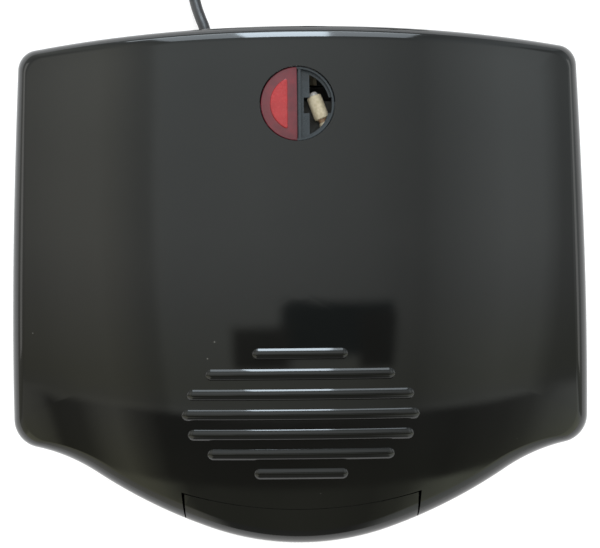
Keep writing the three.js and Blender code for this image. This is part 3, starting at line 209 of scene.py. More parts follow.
def shades(tree, value, low, high, stops):
    """Colour ramp over a value, from stops of (value, level or colour)."""
    share = add_node(tree, "MapRange", [("Value", value), ("From Min", low), ("From Max", high)])
    ramp = add_node(tree, "ValToRGB", [("Fac", share.outputs[0])])
    elements = ramp.color_ramp.elements
    while len(elements) < len(stops):
        elements.new(1.0)
    for element, (at, level) in zip(elements, stops):
        element.position = (at - low) / (high - low)
    for element, (at, level) in zip(elements, stops):
        element.color = (*level, 1) if isinstance(level, tuple) else (level, level, level, 1)
    return ramp.outputs[0]


def mixed(tree, share, first, second):
    """First colour where the share is 0, second where it is 1."""
    mix = add_node(tree, "Mix", [(0, share), (6, first), (7, second)], data_type="RGBA")
    return mix.outputs[2]


def step_between(tree, value, low, high):
    """Soft step from 0 at the low value to 1 at the high one."""
    return add_node(tree, "MapRange", [("Value", value), ("From Min", low), ("From Max", high)],
                    interpolation_type="SMOOTHSTEP").outputs[0]


across, along = ceiling_axes.outputs["X"], ceiling_axes.outputs["Y"]
rear_row = shades(ceiling_tree, across, *room_width, [
    (-3.3, 0.55), (-2.3, 0.66), (-1.86, 0.8), (-1.53, 0.84), (-1.33, 0.72), (-1.14, 0.58), (-1.06, 0.58), (-0.98, 0.78),
    (-0.67, 0.75), (-0.24, 0.75), (0.1, 0.7), (0.45, 0.62), (0.66, 0.54), (0.86, 0.5), (1.0, 0.6), (1.3, 0.78),
    (1.6, 0.93), (2.0, 0.9), (2.26, 0.52), (2.6, 0.5), (3.3, 0.7)])
front_row = shades(ceiling_tree, across, *room_width, [
    (-3.3, 0.4), (-2.75, 0.38), (-2.5, 0.3), (-2.35, 0.1), (-2.0, 0.13), (-1.75, 0.33), (-1.57, 0.4), (-1.36, 0.2),
    (-1.14, 0.05), (0.0, 0.04), (1.0, 0.08), (1.26, 0.07), (1.82, 0.12), (2.1, 0.2), (2.41, 0.42), (3.3, 0.75)])
nose_row = shades(ceiling_tree, across, *room_width, [
    (-3.3, 0.6), (-1.5, 0.55), (-1.3, 0.45), (-1.0, 0.12), (0.0, 0.13), (0.6, 0.1), (0.9, 0.2), (1.15, 0.45),
    (1.4, 0.6), (3.3, 0.7)])
fade = shades(ceiling_tree, along, *room_depth, [
    (-4.2, 1.0), (-1.62, 1.0), (-1.48, 0.46), (-1.2, 0.48), (-0.8, 0.57), (-0.54, 0.64), (-0.1, 0.78), (0.5, 0.85),
    (0.93, 0.94), (1.4, 0.8), (2.4, 0.6)])
tint = shades(ceiling_tree, across, *room_width, [
    (-3.3, (1.0, 1.0, 0.93)), (-1.4, (1.0, 1.0, 0.9)), (-0.9, (0.95, 1.0, 0.98)), (3.3, (0.95, 1.0, 0.99))])
nose_tint = shades(ceiling_tree, along, *room_depth, [
    (-4.2, (1.0, 1.0, 0.97)), (-3.4, (1.0, 1.0, 0.78)), (-2.3, (1.0, 1.0, 0.8)), (-1.6, (1.0, 1.0, 0.97)),
    (-1.3, (1.0, 1.0, 0.88)), (-0.5, (1.0, 1.0, 1.0)), (2.4, (0.95, 1.0, 1.05))])
rows = mixed(ceiling_tree, step_between(ceiling_tree, along, front_row_end, front_row_start), front_row, rear_row)
rows = mixed(ceiling_tree, step_between(ceiling_tree, along, nose_row_end, nose_row_start), nose_row, rows)
for left, right, front, rear, tone in [(-0.12, 0.64, -0.98, -0.55, (0.045, 0.07, 0.085, 1)),
                                       (-0.46, -0.06, -1.1, -0.74, (0.1, 0.1, 0.1, 1)),
                                       (0.4, 0.66, -1.1, -0.62, (0.06, 0.065, 0.07, 1))]:
    panel = step_between(ceiling_tree, across, left - panel_fade_across, left + panel_fade_across)
    for value, low, high in [(across, right + panel_fade_across, right - panel_fade_across),
                             (along, front - panel_fade_along, front + panel_fade_along),
                             (along, rear + panel_fade_along, rear - panel_fade_along)]:
        panel = add_node(ceiling_tree, "Math", [(0, panel), (1, step_between(ceiling_tree, value, low, high))],
                         operation="MULTIPLY").outputs[0]
    rows = mixed(ceiling_tree, panel, rows, tone)
for factor in (fade, tint, nose_tint):
    rows = add_node(ceiling_tree, "VectorMath", [(0, rows), (1, factor)], operation="MULTIPLY").outputs[0]
ceiling_light = add_node(ceiling_tree, "Emission", [("Color", rows), ("Strength", ceiling_level)])
add_node(ceiling_tree, "OutputMaterial", [("Surface", ceiling_light.outputs[0])])
ceiling_mesh = bmesh.new()
bmesh.ops.create_cube(ceiling_mesh, size=1)
bmesh.ops.scale(ceiling_mesh, vec=(*(ceiling_high - ceiling_low), ceiling_height), verts=ceiling_mesh.verts[:])
bmesh.ops.translate(ceiling_mesh, vec=(*((ceiling_high + ceiling_low) / 2), ceiling_height / 2),
                    verts=ceiling_mesh.verts[:])
bmesh.ops.delete(ceiling_mesh, geom=[f for f in ceiling_mesh.faces if f.calc_center_median().z < 0.1], context="FACES")
ceiling = make_piece("ceiling", ceiling_mesh, None, ceiling_paint)
ceiling.visible_camera = ceiling.visible_diffuse = ceiling.visible_shadow = False

# Mains lead: round, 5 mm thick, with a black flexible sheath, about 0.83 m from the body to the plug.
# It leaves the left of the rear, drops to the table and is wound in a coil of two layers behind the machine.
lead_black = grained("lead_sheath", (0.016, 0.016, 0.017), (0.024, 0.024, 0.025), (0.38, 0.5), patch_scale=120.0,
                     grain_scale=4000.0)
mm = 0.001
lead_diameter = 5 * mm
end_gap = 0.3 * mm
gland_x, gland_height, gland_tip = -40.5 * mm, 15 * mm, 110 * mm
coil_x, coil_y, coil_radius, coil_pitch = -17 * mm, 172 * mm, 33 * mm, 5.6 * mm
coil_turns, climb_turns = 4.25, 0.5
plug_x, plug_shift, plug_radius, boot_length, boot_height = 56 * mm, 4 * mm, 19 * mm, 24 * mm, 9 * mm
route_shares = [(0, 0.06, 0), (0.1, 0.13, 0.06), (0.26, 0.2, 0.2), (0.47, 0.3, 0.46), (0.66, 0.42, 0.74),
                (0.83, 0.56, 0.94), (0.95, 0.72, 1), (1, 0.88, 1)]
tail_shares = [(0.22, 0, 0), (0.5, 0.5, 0.7), (0.78, 1, 1)]
lead_start = Vector((gland_x, gland_tip + end_gap, gland_height))
coil_start = Vector((coil_x - coil_radius, coil_y - lead_diameter, lead_diameter / 2))


def laid(start, end, shares):
    """Points of the lead between two places, from the shares of the way gone in X, Y and Z."""
    between = [Vector(a + (b - a) * share for a, b, share in zip(start, end, gone)) for gone in shares]
    return [start, *between, end]


lead_points = laid(lead_start, coil_start, route_shares)
steps_per_turn = 24
for i in range(round(coil_turns * steps_per_turn) + 1):
    turn = i / steps_per_turn
    climb = min(max((turn - (coil_turns - climb_turns) / 2) / climb_turns, 0), 1)
    radius = coil_radius - coil_pitch * (coil_turns / 2 - abs(turn - coil_turns / 2))
    angle = math.pi - 2 * math.pi * turn
    lead_points.append(Vector((
        coil_x + radius * math.cos(angle), coil_y + radius * math.sin(angle),
        lead_diameter / 2 + coil_pitch * (1 - math.cos(math.pi * climb)) / 2)))
coil_end = lead_points[-1]
plug_y = coil_end.y - plug_shift
tail_start = coil_end + Vector((lead_diameter, 0, 0))
tail_end = Vector((plug_x - plug_radius - boot_length - end_gap, plug_y, boot_height))
lead_points += laid(tail_start, tail_end, tail_shares)
lead_curve = bpy.data.curves.new("mains_lead", "CURVE")
lead_curve.dimensions = "3D"
lead_curve.bevel_depth = lead_diameter / 2
lead_curve.bevel_resolution = 5
lead_curve.resolution_u = 4
lead_curve.use_fill_caps = True
run = lead_curve.splines.new("BEZIER")
run.bezier_points.add(len(lead_points) - 1)
for knot, point in zip(run.bezier_points, lead_points):
    knot.co = point
    knot.handle_left_type = knot.handle_right_type = "AUTO"
lead_curve.materials.append(lead_black)
mains_lead = bpy.data.objects.new("mains_lead", lead_curve)
scene.collection.objects.link(mains_lead)
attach(mains_lead, "base")
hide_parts("power_cord", "power_cord_coil", "power_cord_tail")


def turned(name, profile, centre, axis, body, material, steps=48):
    """A turned piece: a profile of (radius, distance along the axis) spun about the axis."""
    bm = bmesh.new()
    points = [bmesh.ops.create_vert(bm, co=(radius, 0, along))["vert"][0] for radius, along in profile]
    for first, second in zip(points, points[1:]):
        bm.edges.new((first, second))
    bmesh.ops.spin(bm, geom=bm.verts[:] + bm.edges[:], cent=(0, 0, 0), axis=(0, 0, 1), angle=2 * math.pi,
                   steps=steps, use_merge=True)
    bmesh.ops.remove_doubles(bm, verts=bm.verts[:], dist=0.00001)
    bmesh.ops.recalc_face_normals(bm, faces=bm.faces[:])
    turn = Vector((0, 0, 1)).rotation_difference(Vector(axis)).to_matrix().to_4x4()
    bmesh.ops.transform(bm, matrix=Matrix.Translation(centre) @ turn, verts=bm.verts[:])
    return make_piece(name, bm, body, material)


# Strain relief: a black rubber sleeve, ribbed crosswise, that tapers from the housing to the lead.
# Its collar sits inside the gland of the base.
relief_thick, relief_thin, relief_root = 5 * mm, 3.4 * mm, 89 * mm
collar_radius, collar_start, collar_end = 6 * mm, 76.3 * mm, 80.7 * mm
relief_profile = [(0, collar_start), (collar_radius, collar_start), (collar_radius, collar_end),
                  (relief_thick, collar_end), (relief_thick, relief_root)]
relief_ribs, relief_groove, relief_bevel = 6, 0.5 * mm, 0.3 * mm
for i in range(relief_ribs):
    start = relief_root + (gland_tip - relief_root) * (i + 0.25) / relief_ribs
    end = relief_root + (gland_tip - relief_root) * (i + 0.85) / relief_ribs
    wide = relief_thick + (relief_thin - relief_thick) * (i + 0.5) / relief_ribs
    narrow = wide - relief_groove
    relief_profile += [(narrow, start - relief_bevel), (wide, start), (wide, end), (narrow, end + relief_bevel)]
relief_profile += [(relief_thin, gland_tip - 1 * mm), (relief_thin - 0.4 * mm, gland_tip), (0, gland_tip)]
strain_relief = turned("strain_relief", relief_profile, (gland_x, 0, gland_height), (0, 1, 0), "base", lead_black)
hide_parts("cord_strain_relief")

# Mains plug: a round body in black rubber with a ribbed arm at its side for the lead, lying on its back.
# It has two nickel-plated pins and an earth strip.
plug_height, boot_ribs, boot_pitch = 17 * mm, 5, 3.6 * mm
plug_disc = turned("plug_disc", [
    (0, 0), (plug_radius - 3 * mm, 0), (plug_radius - 1.2 * mm, 0.6 * mm), (plug_radius - 0.2 * mm, 3 * mm),
    (plug_radius, 6 * mm), (plug_radius, plug_height - 3 * mm), (plug_radius - 0.6 * mm, plug_height - 1.4 * mm),
    (plug_radius - 2 * mm, plug_height - 0.2 * mm), (plug_radius - 4 * mm, plug_height - 0.4 * mm),
    (plug_radius - 5 * mm, plug_height - 1.6 * mm), (0, plug_height - 1.6 * mm)],
    (plug_x, plug_y, 0), (0, 0, 1), "base", lead_black)
boot_profile = [(0, plug_radius - 6 * mm), (6.5 * mm, plug_radius - 6 * mm), (6.4 * mm, plug_radius + 3 * mm)]
for i in range(boot_ribs):
    reach = plug_radius + 5 * mm + i * boot_pitch
    wide = (6.1 - 0.45 * i) * mm
    boot_profile += [(wide - 0.7 * mm, reach - 0.5 * mm), (wide, reach), (wide, reach + 1.9 * mm),
                     (wide - 0.7 * mm, reach + 2.3 * mm)]
boot_profile += [(3.5 * mm, plug_radius + boot_length - 0.6 * mm), (3.0 * mm, plug_radius + boot_length),
                 (0, plug_radius + boot_length)]
plug_boot = turned("plug_boot", boot_profile, (plug_x, plug_y, boot_height), (-1, 0, 0), "base", lead_black)
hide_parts("plug_body")
pin_metal = grained("nickel_plate", (0.62, 0.6, 0.56), (0.7, 0.68, 0.63), (0.18, 0.3), patch_scale=200.0,
                    grain_scale=5000.0, metallic=1.0)
pin_radius, pin_offset = 2.4 * mm, 9.5 * mm
for side, node in ((-1, "plug_pin_left"), (1, "plug_pin_right")):
    low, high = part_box(node)
    pin = turned("pin_" + node.rsplit("_", 1)[1], [
        (0, low[2]), (pin_radius, low[2]), (pin_radius, high[2] - 1.6 * mm),
        (pin_radius - 0.5 * mm, high[2] - 0.5 * mm), (pin_radius - 1.3 * mm, high[2]), (0, high[2])],
        (plug_x, plug_y + side * pin_offset, 0), (0, 0, 1), "base", pin_metal, steps=32)
    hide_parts(node)

# Lid cover: one polished black moulding, 2.2 mm thick, domed, with a slightly bowed rear edge and a nose in front.
# Its plan is a chain of tangent arcs, and its wall rises with a small draft to a rounded edge.
# Fine dust lies on it in patches.
gloss_black = grained("polished_black", (0.0042, 0.0042, 0.0038), (0.0058, 0.0057, 0.0051), (0.04, 0.08),
                      patch_scale=22.0, grain_scale=900.0, grain_depth=0.000003)
black_tree = gloss_black.node_tree
black_shader = black_tree.nodes["Principled BSDF"]
black_place = add_node(black_tree, "TexCoord").outputs["Object"]
dust_cells = add_node(black_tree, "TexVoronoi", [("Vector", black_place), ("Scale", 160.0)])
dust_patches = add_node(black_tree, "TexNoise", [("Vector", black_place), ("Scale", 45.0), ("Detail", 2.0)])
dust_size = add_node(black_tree, "MapRange", [("Value", dust_patches.outputs[0]), ("From Min", 0.56),
                                              ("From Max", 0.72), ("To Min", 0.0), ("To Max", 0.055)])
dust = add_node(black_tree, "Math", [(0, dust_cells.outputs["Distance"]), (1, dust_size.outputs[0])],
                operation="LESS_THAN")
black_tone = black_shader.inputs["Base Color"].links[0].from_socket
dusty_tone = mixed(black_tree, dust.outputs[0], black_tone, (0.09, 0.088, 0.08, 1))
black_tree.links.new(dusty_tone, black_shader.inputs["Base Color"])
outline_arcs = [(106 * mm, math.radians(20), 12), (219.5 * mm, math.radians(14), 14), (66 * mm, math.radians(-24), 12)]
ear_radius, side_lean, side_length = 11 * mm, math.radians(2.4), 142.5 * mm
rear_corner, rear_radius = 8 * mm, 850 * mm
ear_steps, side_steps, corner_steps, rear_steps = 16, 16, 12, 24
parting, parting_gap, apex_height, apex_y = 45 * mm, 0.6 * mm, 90 * mm, 43 * mm
side_fall, rear_fall, front_fall, front_reach = 17 * mm, 2.5 * mm, 26 * mm, 145 * mm
side_bend, front_bend = 2.1, 2.2
lid_wall, lid_draft, lid_edge, rim_round = 2.2 * mm, 2 * mm, 7 * mm, 0.2 * mm
lid_bottom = parting + parting_gap / 2


def plan_ring(bm, height):
    """The plan outline as a closed loop of edges at a height."""
    at = bmesh.ops.create_vert(bm, co=(0, 0, height))["vert"][0]
    heading = 0.0

    def bend(at, heading, radius, turn, steps):
        centre = at.co + Vector((-math.sin(heading), math.cos(heading), 0)) * math.copysign(radius, turn)
        made = bmesh.ops.spin(bm, geom=[at], cent=centre, axis=(0, 0, 1), angle=turn, steps=steps)
        return next(g for g in made["geom_last"] if isinstance(g, bmesh.types.BMVert)), heading + turn

    for radius, turn, steps in outline_arcs:
        at, heading = bend(at, heading, radius, turn, steps)
    at, heading = bend(at, heading, ear_radius, math.pi / 2 + side_lean - heading, ear_steps)
    for _ in range(side_steps):
        made = bmesh.ops.extrude_vert_indiv(bm, verts=[at])
        at = made["verts"][0]
        at.co += Vector((math.cos(heading), math.sin(heading), 0)) * (side_length / side_steps)
    reach = at.co.x - rear_corner * math.sin(heading)
    rear_heading = math.pi - math.asin(reach / (rear_radius - rear_corner))
    at, heading = bend(at, heading, rear_corner, rear_heading - heading, corner_steps)
    at, heading = bend(at, heading, rear_radius, math.pi - rear_heading, rear_steps)
    depth = at.co.y
    bmesh.ops.translate(bm, vec=(0, -depth / 2, 0), verts=bm.verts[:])
    at.co.x = 0
    bmesh.ops.mirror(bm, geom=bm.verts[:] + bm.edges[:], axis="X", merge_dist=0.00001)
    bmesh.ops.remove_doubles(bm, verts=bm.verts[:], dist=0.00002)
    return bm.edges[:], depth


probe = bmesh.new()
_, body_depth = plan_ring(probe, 0)
half_width = max(v.co.x for v in probe.verts)
probe.free()


def crown(x, y):
    """Height of the lid's top over a plan point."""
    side = side_fall * (abs(x) / half_width) ** side_bend
    rear = rear_fall * ((y - apex_y) / (body_depth / 2 - apex_y)) ** 2 if y > apex_y else 0
    front = front_fall * ((apex_y - y) / front_reach) ** front_bend if y < apex_y else 0
    return apex_height - side - rear - front


def next_ring(bm, edges, inward, height, share=1.0):
    """Extrudes a loop and moves it towards the middle, to a height that may depend on the plan point."""
    made = bmesh.ops.extrude_edge_only(bm, edges=edges)["geom"]
    verts = {g for g in made if isinstance(g, bmesh.types.BMVert)}
    for vert in verts:
        plan = Vector((vert.co.x, vert.co.y))
        plan *= (1 - inward / plan.length) * share
        vert.co = (plan.x, plan.y, height(plan) if callable(height) else height)
    return [g for g in made if isinstance(g, bmesh.types.BMEdge) and set(g.verts) <= verts]


def close_ends(bm, first, last):
    """Closes the first loop flat and draws the last one together at its middle."""
    bmesh.ops.edgeloop_fill(bm, edges=first)
    verts = list(dict.fromkeys(v for e in last for v in e.verts))
    middle = sum((v.co for v in verts), Vector()) / len(verts)
    bmesh.ops.pointmerge(bm, verts=verts, merge_co=middle)
    bmesh.ops.recalc_face_normals(bm, faces=bm.faces[:])


def inner_ring(bm, inset, height):
    """The plan outline drawn in by an inset."""
    ring, _ = plan_ring(bm, height)
    for vert in bm.verts:
        plan = Vector((vert.co.x, vert.co.y))
        plan *= 1 - inset / plan.length
        vert.co = (plan.x, plan.y, height)
    return ring


def dome(wall, bottoms):
    """Solid dome under the lid's surface, less a wall's thickness all round."""
    bm = bmesh.new()
    first = ring = inner_ring(bm, wall, bottoms[0])
    for bottom in bottoms[1:]:
        ring = next_ring(bm, ring, 0, bottom)
    edge = lid_edge - wall
    done = wall
    edge_steps = 10
    for i in range(edge_steps + 1):
        angle = math.radians(90 * i / edge_steps)
        inset = wall + lid_draft + edge * (1 - math.cos(angle))
        drop = wall + edge * (1 - math.sin(angle))
        ring = next_ring(bm, ring, inset - done, lambda p, drop=drop: crown(p.x, p.y) - drop)
        done = inset
    top_shares = [1 - 0.06 * i for i in range(17)] + [0.02, 0.008]
    for share, before in zip(top_shares[1:], top_shares):
        ring = next_ring(bm, ring, 0, lambda p: crown(p.x, p.y) - wall, share / before)
    close_ends(bm, first, ring)
    return bm


def filled(bm, edges, way):
    """Fills a loop of edges and draws the face out into a block."""
    bmesh.ops.edgeloop_fill(bm, edges=edges)
    made = bmesh.ops.extrude_face_region(bm, geom=bm.faces[:])["geom"]
    bmesh.ops.translate(bm, vec=way, verts=[g for g in made if isinstance(g, bmesh.types.BMVert)])
    bmesh.ops.recalc_face_normals(bm, faces=bm.faces[:])
    return bm


def plan_block(inset, low, high):
    """Upright block over the plan outline, drawn in by an inset."""
    bm = bmesh.new()
    return filled(bm, inner_ring(bm, inset, low), (0, 0, high - low))


def carve(piece, tool, operation="DIFFERENCE"):
    """Cuts a piece by a tool object, or joins or crosses it with the tool, and removes the tool."""
    step = piece.modifiers.new("carve", "BOOLEAN")
    step.operation, step.object, step.solver = operation, tool, "EXACT"
    bpy.context.view_layer.update()
    made = bpy.data.meshes.new_from_object(piece.evaluated_get(bpy.context.evaluated_depsgraph_get()))
    piece.modifiers.clear()
    piece.data = made
    bpy.data.objects.remove(tool)


def blank(name, bm):
    """A bare piece, to be carved and finished."""
    return make_piece(name, bm, None, None)


def tool_from(bm):
    """A tool, which carve takes away again."""
    return blank("tool", bm)


def closed_loop(bm, points):
    """Vertices at the points, joined in a ring by edges."""
    verts = [bmesh.ops.create_vert(bm, co=point)["vert"][0] for point in points]
    return [bm.edges.new(pair) for pair in zip(verts, verts[1:] + verts[:1])]


def prism(corners, low, high):
    """Upright block over a plan shape given by its corners in order."""
    bm = bmesh.new()
    return filled(bm, closed_loop(bm, [(x, y, low) for x, y in corners]), (0, 0, high - low))


def block_tool(low, high):
    """Block between two corners."""
    bm = bmesh.new()
    bmesh.ops.create_cube(bm, size=1)
    size = [b - a for a, b in zip(low, high)]
    middle = [(a + b) / 2 for a, b in zip(low, high)]
    bmesh.ops.scale(bm, vec=size, verts=bm.verts[:])
    bmesh.ops.translate(bm, vec=middle, verts=bm.verts[:])
    return tool_from(bm)


def round_tool(radius, low, high, x, y, segments=96):
    """Upright round bar."""
    bm = bmesh.new()
    bmesh.ops.create_cone(bm, cap_ends=True, segments=segments, radius1=radius, radius2=radius, depth=high - low)
    bmesh.ops.translate(bm, vec=(x, y, (low + high) / 2), verts=bm.verts[:])
    return tool_from(bm)


weld_gap = 0.000002


def soften(piece, sharp_degrees=32):
    """Welds and shades a piece after its cuts."""
    bm = bmesh.new()
    bm.from_mesh(piece.data)
    bmesh.ops.remove_doubles(bm, verts=bm.verts[:], dist=weld_gap)
    shade(bm, sharp_degrees)
    bm.to_mesh(piece.data)
    bm.free()


def round_edges(piece, radius, chosen, sharp_degrees=40, segments=2):
    """Rounds the sharp edges whose middle point is chosen."""
    bm = bmesh.new()
    bm.from_mesh(piece.data)
    bmesh.ops.remove_doubles(bm, verts=bm.verts[:], dist=weld_gap)
    edges = [e for e in bm.edges if len(e.link_faces) == 2 and e.calc_face_angle(0) > math.radians(sharp_degrees)
             and chosen((e.verts[0].co + e.verts[1].co) / 2)]
    bmesh.ops.bevel(bm, geom=edges, offset=radius, segments=segments, profile=0.5, affect="EDGES", material=-1,
                    clamp_overlap=True)
    bm.to_mesh(piece.data)
    bm.free()


def round_rim(piece):
    """Rounds the edges of cuts through the lid's surface."""
    round_edges(piece, rim_round, lambda p: abs(crown(p.x, p.y) - p.z) < 0.4 * mm)


def finish_piece(piece, body, material, slot, *nodes):
    """Smooths a carved piece, gives it its finish and its body, and hides the solids it stands for."""
    soften(piece)
    even = piece.modifiers.new("even_shading", "WEIGHTED_NORMAL")
    even.keep_sharp = True
    piece.data.materials.clear()
    piece.data.materials.append(material)
    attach(piece, body)
    if nodes:
        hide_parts(*nodes)


latch_half, slit, seam_y, seam_rise, seam_gap, seam_steps = 47 * mm, 1.2 * mm, -86.3 * mm, 6.6 * mm, 0.16 * mm, 40
undercut_share, slit_taper, nose_y = 2.4, 3 * mm, -body_depth / 2
seam_height = crown(0, seam_y)


def latch_block(half, shift, low, high, lean=False, taper=0.0):
    """Block in front of the curved seam, which may narrow towards the nose or slope forwards as it rises."""
    corners = [(taper - half, nose_y * 1.2), (half - taper, nose_y * 1.2)]
    for i in range(seam_steps + 1):
        x = half - 2 * half * i / seam_steps
        corners.append((x, seam_y + seam_rise * (x / latch_half) ** 2 + shift))
    bm = prism(corners, low, high)
    if lean:
        for vert in bm.verts:
            vert.co.y += undercut_share * (seam_height - vert.co.z)
    return tool_from(bm)


window_y, window_radius = 71.4 * mm, 14.3 * mm
window_top = crown(0, window_y)
foot_height, far = 5 * mm, 0.2
open_half = latch_half + slit / 2

lid_cover = blank("lid_cover", dome(0, [lid_bottom]))
carve(lid_cover, tool_from(dome(lid_wall, [lid_bottom - 1 * mm])))
carve(lid_cover, latch_block(open_half, seam_gap / 2, foot_height, apex_height, taper=slit_taper))
carve(lid_cover, latch_block(open_half, seam_gap / 2, seam_height - 2 * lid_wall, seam_height, lean=True,
                             taper=slit_taper))
carve(lid_cover, round_tool(window_radius, window_top - 10 * mm, window_top + 10 * mm, 0, window_y))
round_rim(lid_cover)
finish_piece(lid_cover, "lid", gloss_black, "gloss_black", "lid_shell")

# Grip ribs: seven low rounded ridges moulded across the front of the cover, inside an oval field.
# Each is a shallow arch across and dies out at its ends. They get lower towards the nose.
rib_count, rib_pitch, rib_middle_y, rib_width, rib_rise = 7, 7.95 * mm, -47.5 * mm, 4.4 * mm, 1.1 * mm
rib_sink, tip_share = 0.05 * mm, 0.02
field_half_width, field_half_depth, rib_end, front_rise_share = 46.3 * mm, 26 * mm, 2.4 * mm, 0.8
ribs = bmesh.new()
for i in range(rib_count):
    offset = (i - (rib_count - 1) / 2) * rib_pitch
    half_length = field_half_width * math.sqrt(1 - (offset / field_half_depth) ** 2)
    rise = rib_rise * (front_rise_share + (1 - front_rise_share) * i / (rib_count - 1))
    rib = bmesh.ops.create_grid(ribs, x_segments=72, y_segments=16, size=1)["verts"]
    for vert in rib:
        u, v = math.sin(vert.co.x * math.pi / 2), vert.co.y
        fade = min((1 - abs(u)) * half_length / rib_end, 1)
        swell = math.sqrt(1 - (1 - fade) ** 2)
        x = u * half_length
        y = rib_middle_y + offset + v * rib_width / 2 * max(swell, tip_share)
        vert.co = (x, y, crown(x, y) - rib_sink + (rise + rib_sink) * swell * (1 - v ** 2))
make_piece("lid_ribs", ribs, "lid", gloss_black)

# Latch: a flap in the same black moulding that fills the nose of the lid and reaches down over the base.
# It swings on two steel pins under its top, in front of the seam.
latch_wall, latch_skirt = 2.6 * mm, 7.5 * mm
flap_bottom = parting - latch_skirt
latch_flap = blank("latch_flap", dome(0, [flap_bottom, lid_bottom]))
carve(latch_flap, latch_block(latch_half - slit / 2, -seam_gap / 2, flap_bottom - 1 * mm, apex_height + 10 * mm),
      "INTERSECT")
carve(latch_flap, tool_from(dome(latch_wall, [flap_bottom - 1 * mm, lid_bottom])))
round_rim(latch_flap)
finish_piece(latch_flap, "latch", gloss_black, "gloss_black", "latch")

# Latch hook, arms and lugs: the flap's hook runs along its inside in front of the catch, and its two arms swing
# between lugs of the lid on steel pins. All but the pins are the same black moulding.
hook_reach, hook_height, hook_half = 1.6 * mm, 2 * mm, 15.5 * mm
hook_low = flap_bottom + 0.3 * mm


def nose_tool(half, low=0.0, high=apex_height, rear=0.0):
    """Block over the middle of the nose, up to a line across."""
    return block_tool((-half, -far, low), (half, rear, high))


latch_hook = blank("latch_hook", plan_block(latch_wall - 0.3 * mm, hook_low, hook_low + hook_height))
carve(latch_hook, tool_from(plan_block(latch_wall + hook_reach, hook_low - 1 * mm, hook_low + hook_height + 1 * mm)))
carve(latch_hook, nose_tool(hook_half), "INTERSECT")
finish_piece(latch_hook, "latch", gloss_black, "gloss_black")
pin_y, pin_z, latch_knuckle, lug_width, lug_gap = -91.5 * mm, 57 * mm, 3.2 * mm, 4 * mm, 0.4 * mm
latch_pin_x, latch_pin_radius, latch_pin_length, pin_chamfer = 22 * mm, 1.5 * mm, 13 * mm, 0.3 * mm
post_front, post_middle, post_rear, post_slope = -80.3 * mm, -77 * mm, -74.3 * mm, 0.6 * mm
pin_steel = grained("pin_steel", (0.52, 0.52, 0.51), (0.6, 0.6, 0.58), (0.22, 0.36), patch_scale=300.0, metallic=1.0)


def side_block(name, profile, x_low, x_high, body, edge=0.4 * mm):
    """A moulded web: a profile of (y, z) carried from one x to another, with softened edges."""
    bm = bmesh.new()
    filled(bm, closed_loop(bm, [(x_low, y, z) for y, z in profile]), (x_high - x_low, 0, 0))
    sharp = [e for e in bm.edges if e.calc_face_angle(0) > math.radians(40)]
    bmesh.ops.bevel(bm, geom=sharp, offset=edge, segments=2, profile=0.5, affect="EDGES", material=-1,
                    clamp_overlap=True)
    return make_piece(name, bm, body, gloss_black)


def arc_points(y, z, radius, first, last, steps=14):
    """Points of an arc about (y, z), with angles in degrees from +Y towards +Z."""
    angles = [math.radians(first + (last - first) * i / steps) for i in range(steps + 1)]
    return [(y + radius * math.cos(a), z + radius * math.sin(a)) for a in angles]


def steel_pin(name, radius, half, middle, body, node):
    """A steel pin along X about its middle, with chamfered ends."""
    pin = turned(name, [
        (0, -half), (radius - pin_chamfer, -half), (radius, -half + pin_chamfer), (radius, half - pin_chamfer),
        (radius - pin_chamfer, half), (0, half)],
        middle, (1, 0, 0), body, pin_steel, steps=32)
    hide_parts(node)


for side, word in ((-1, "left"), (1, "right")):
    middle = side * latch_pin_x
    inside = crown(middle, pin_y) - latch_wall
    arm = arc_points(pin_y, pin_z, latch_knuckle, 180, 360) + [
        (pin_y + latch_knuckle, inside), (pin_y - latch_knuckle, inside - post_slope)]
    side_block("latch_arm_" + word, arm, middle - lug_width / 2, middle + lug_width / 2, "latch")
    for step, place in ((-1, "a"), (1, "b")):
        lug_x = middle + step * (lug_width + lug_gap)
        post_top = crown(lug_x, post_middle) - lid_wall
        lug = arc_points(pin_y, pin_z, latch_knuckle, 90, 270) + [
            (post_rear, pin_z - latch_knuckle), (post_rear, post_top), (post_front, post_top - post_slope),
            (post_front, pin_z + latch_knuckle)]
        side_block("latch_lug_" + word + "_" + place, lug, lug_x - lug_width / 2, lug_x + lug_width / 2, "lid")
    steel_pin("latch_steel_pin_" + word, latch_pin_radius, latch_pin_length / 2, (middle, pin_y, pin_z), "lid",
              "latch_pin_" + word)

# Base tub: the same black moulding, drawn in towards the table, with a trough behind for the hinge.
# A recess in its nose takes the latch's skirt.
base_wall, tub_inset = 2.2 * mm, 28 * mm
tub_curve_steps = 4
tub_shares = [(0, 1), (0.043, 0.806), (0.125, 0.554), (0.268, 0.327), (0.464, 0.164), (0.714, 0.055), (1, 0)]
base_top = parting - parting_gap / 2


def tub(wall, over=0.0):
    """Solid form of the tub, less a wall's thickness all round."""
    bm = bmesh.new()
    first = ring = inner_ring(bm, wall, base_top + over)
    done = 0.0
    knots = [Vector((inset * tub_inset, foot_height + rise * (base_top - foot_height))) for inset, rise in tub_shares]
    for i, (start, end) in enumerate(zip(knots, knots[1:])):
        before = knots[max(i - 1, 0)]
        after = knots[min(i + 2, len(knots) - 1)]
        for k in range(1, tub_curve_steps + 1):
            t = k / tub_curve_steps
            point = 0.5 * ((2 * start) + (end - before) * t + (2 * before - 5 * start + 4 * end - after) * t ** 2
                           + (3 * start - before - 3 * end + after) * t ** 3)
            ring = next_ring(bm, ring, point.x - done, point.y + wall)
            done = point.x
    for share in (0.7, 0.5, 0.3):
        ring = next_ring(bm, ring, 0, foot_height + wall, share)
    close_ends(bm, first, ring)
    return bm


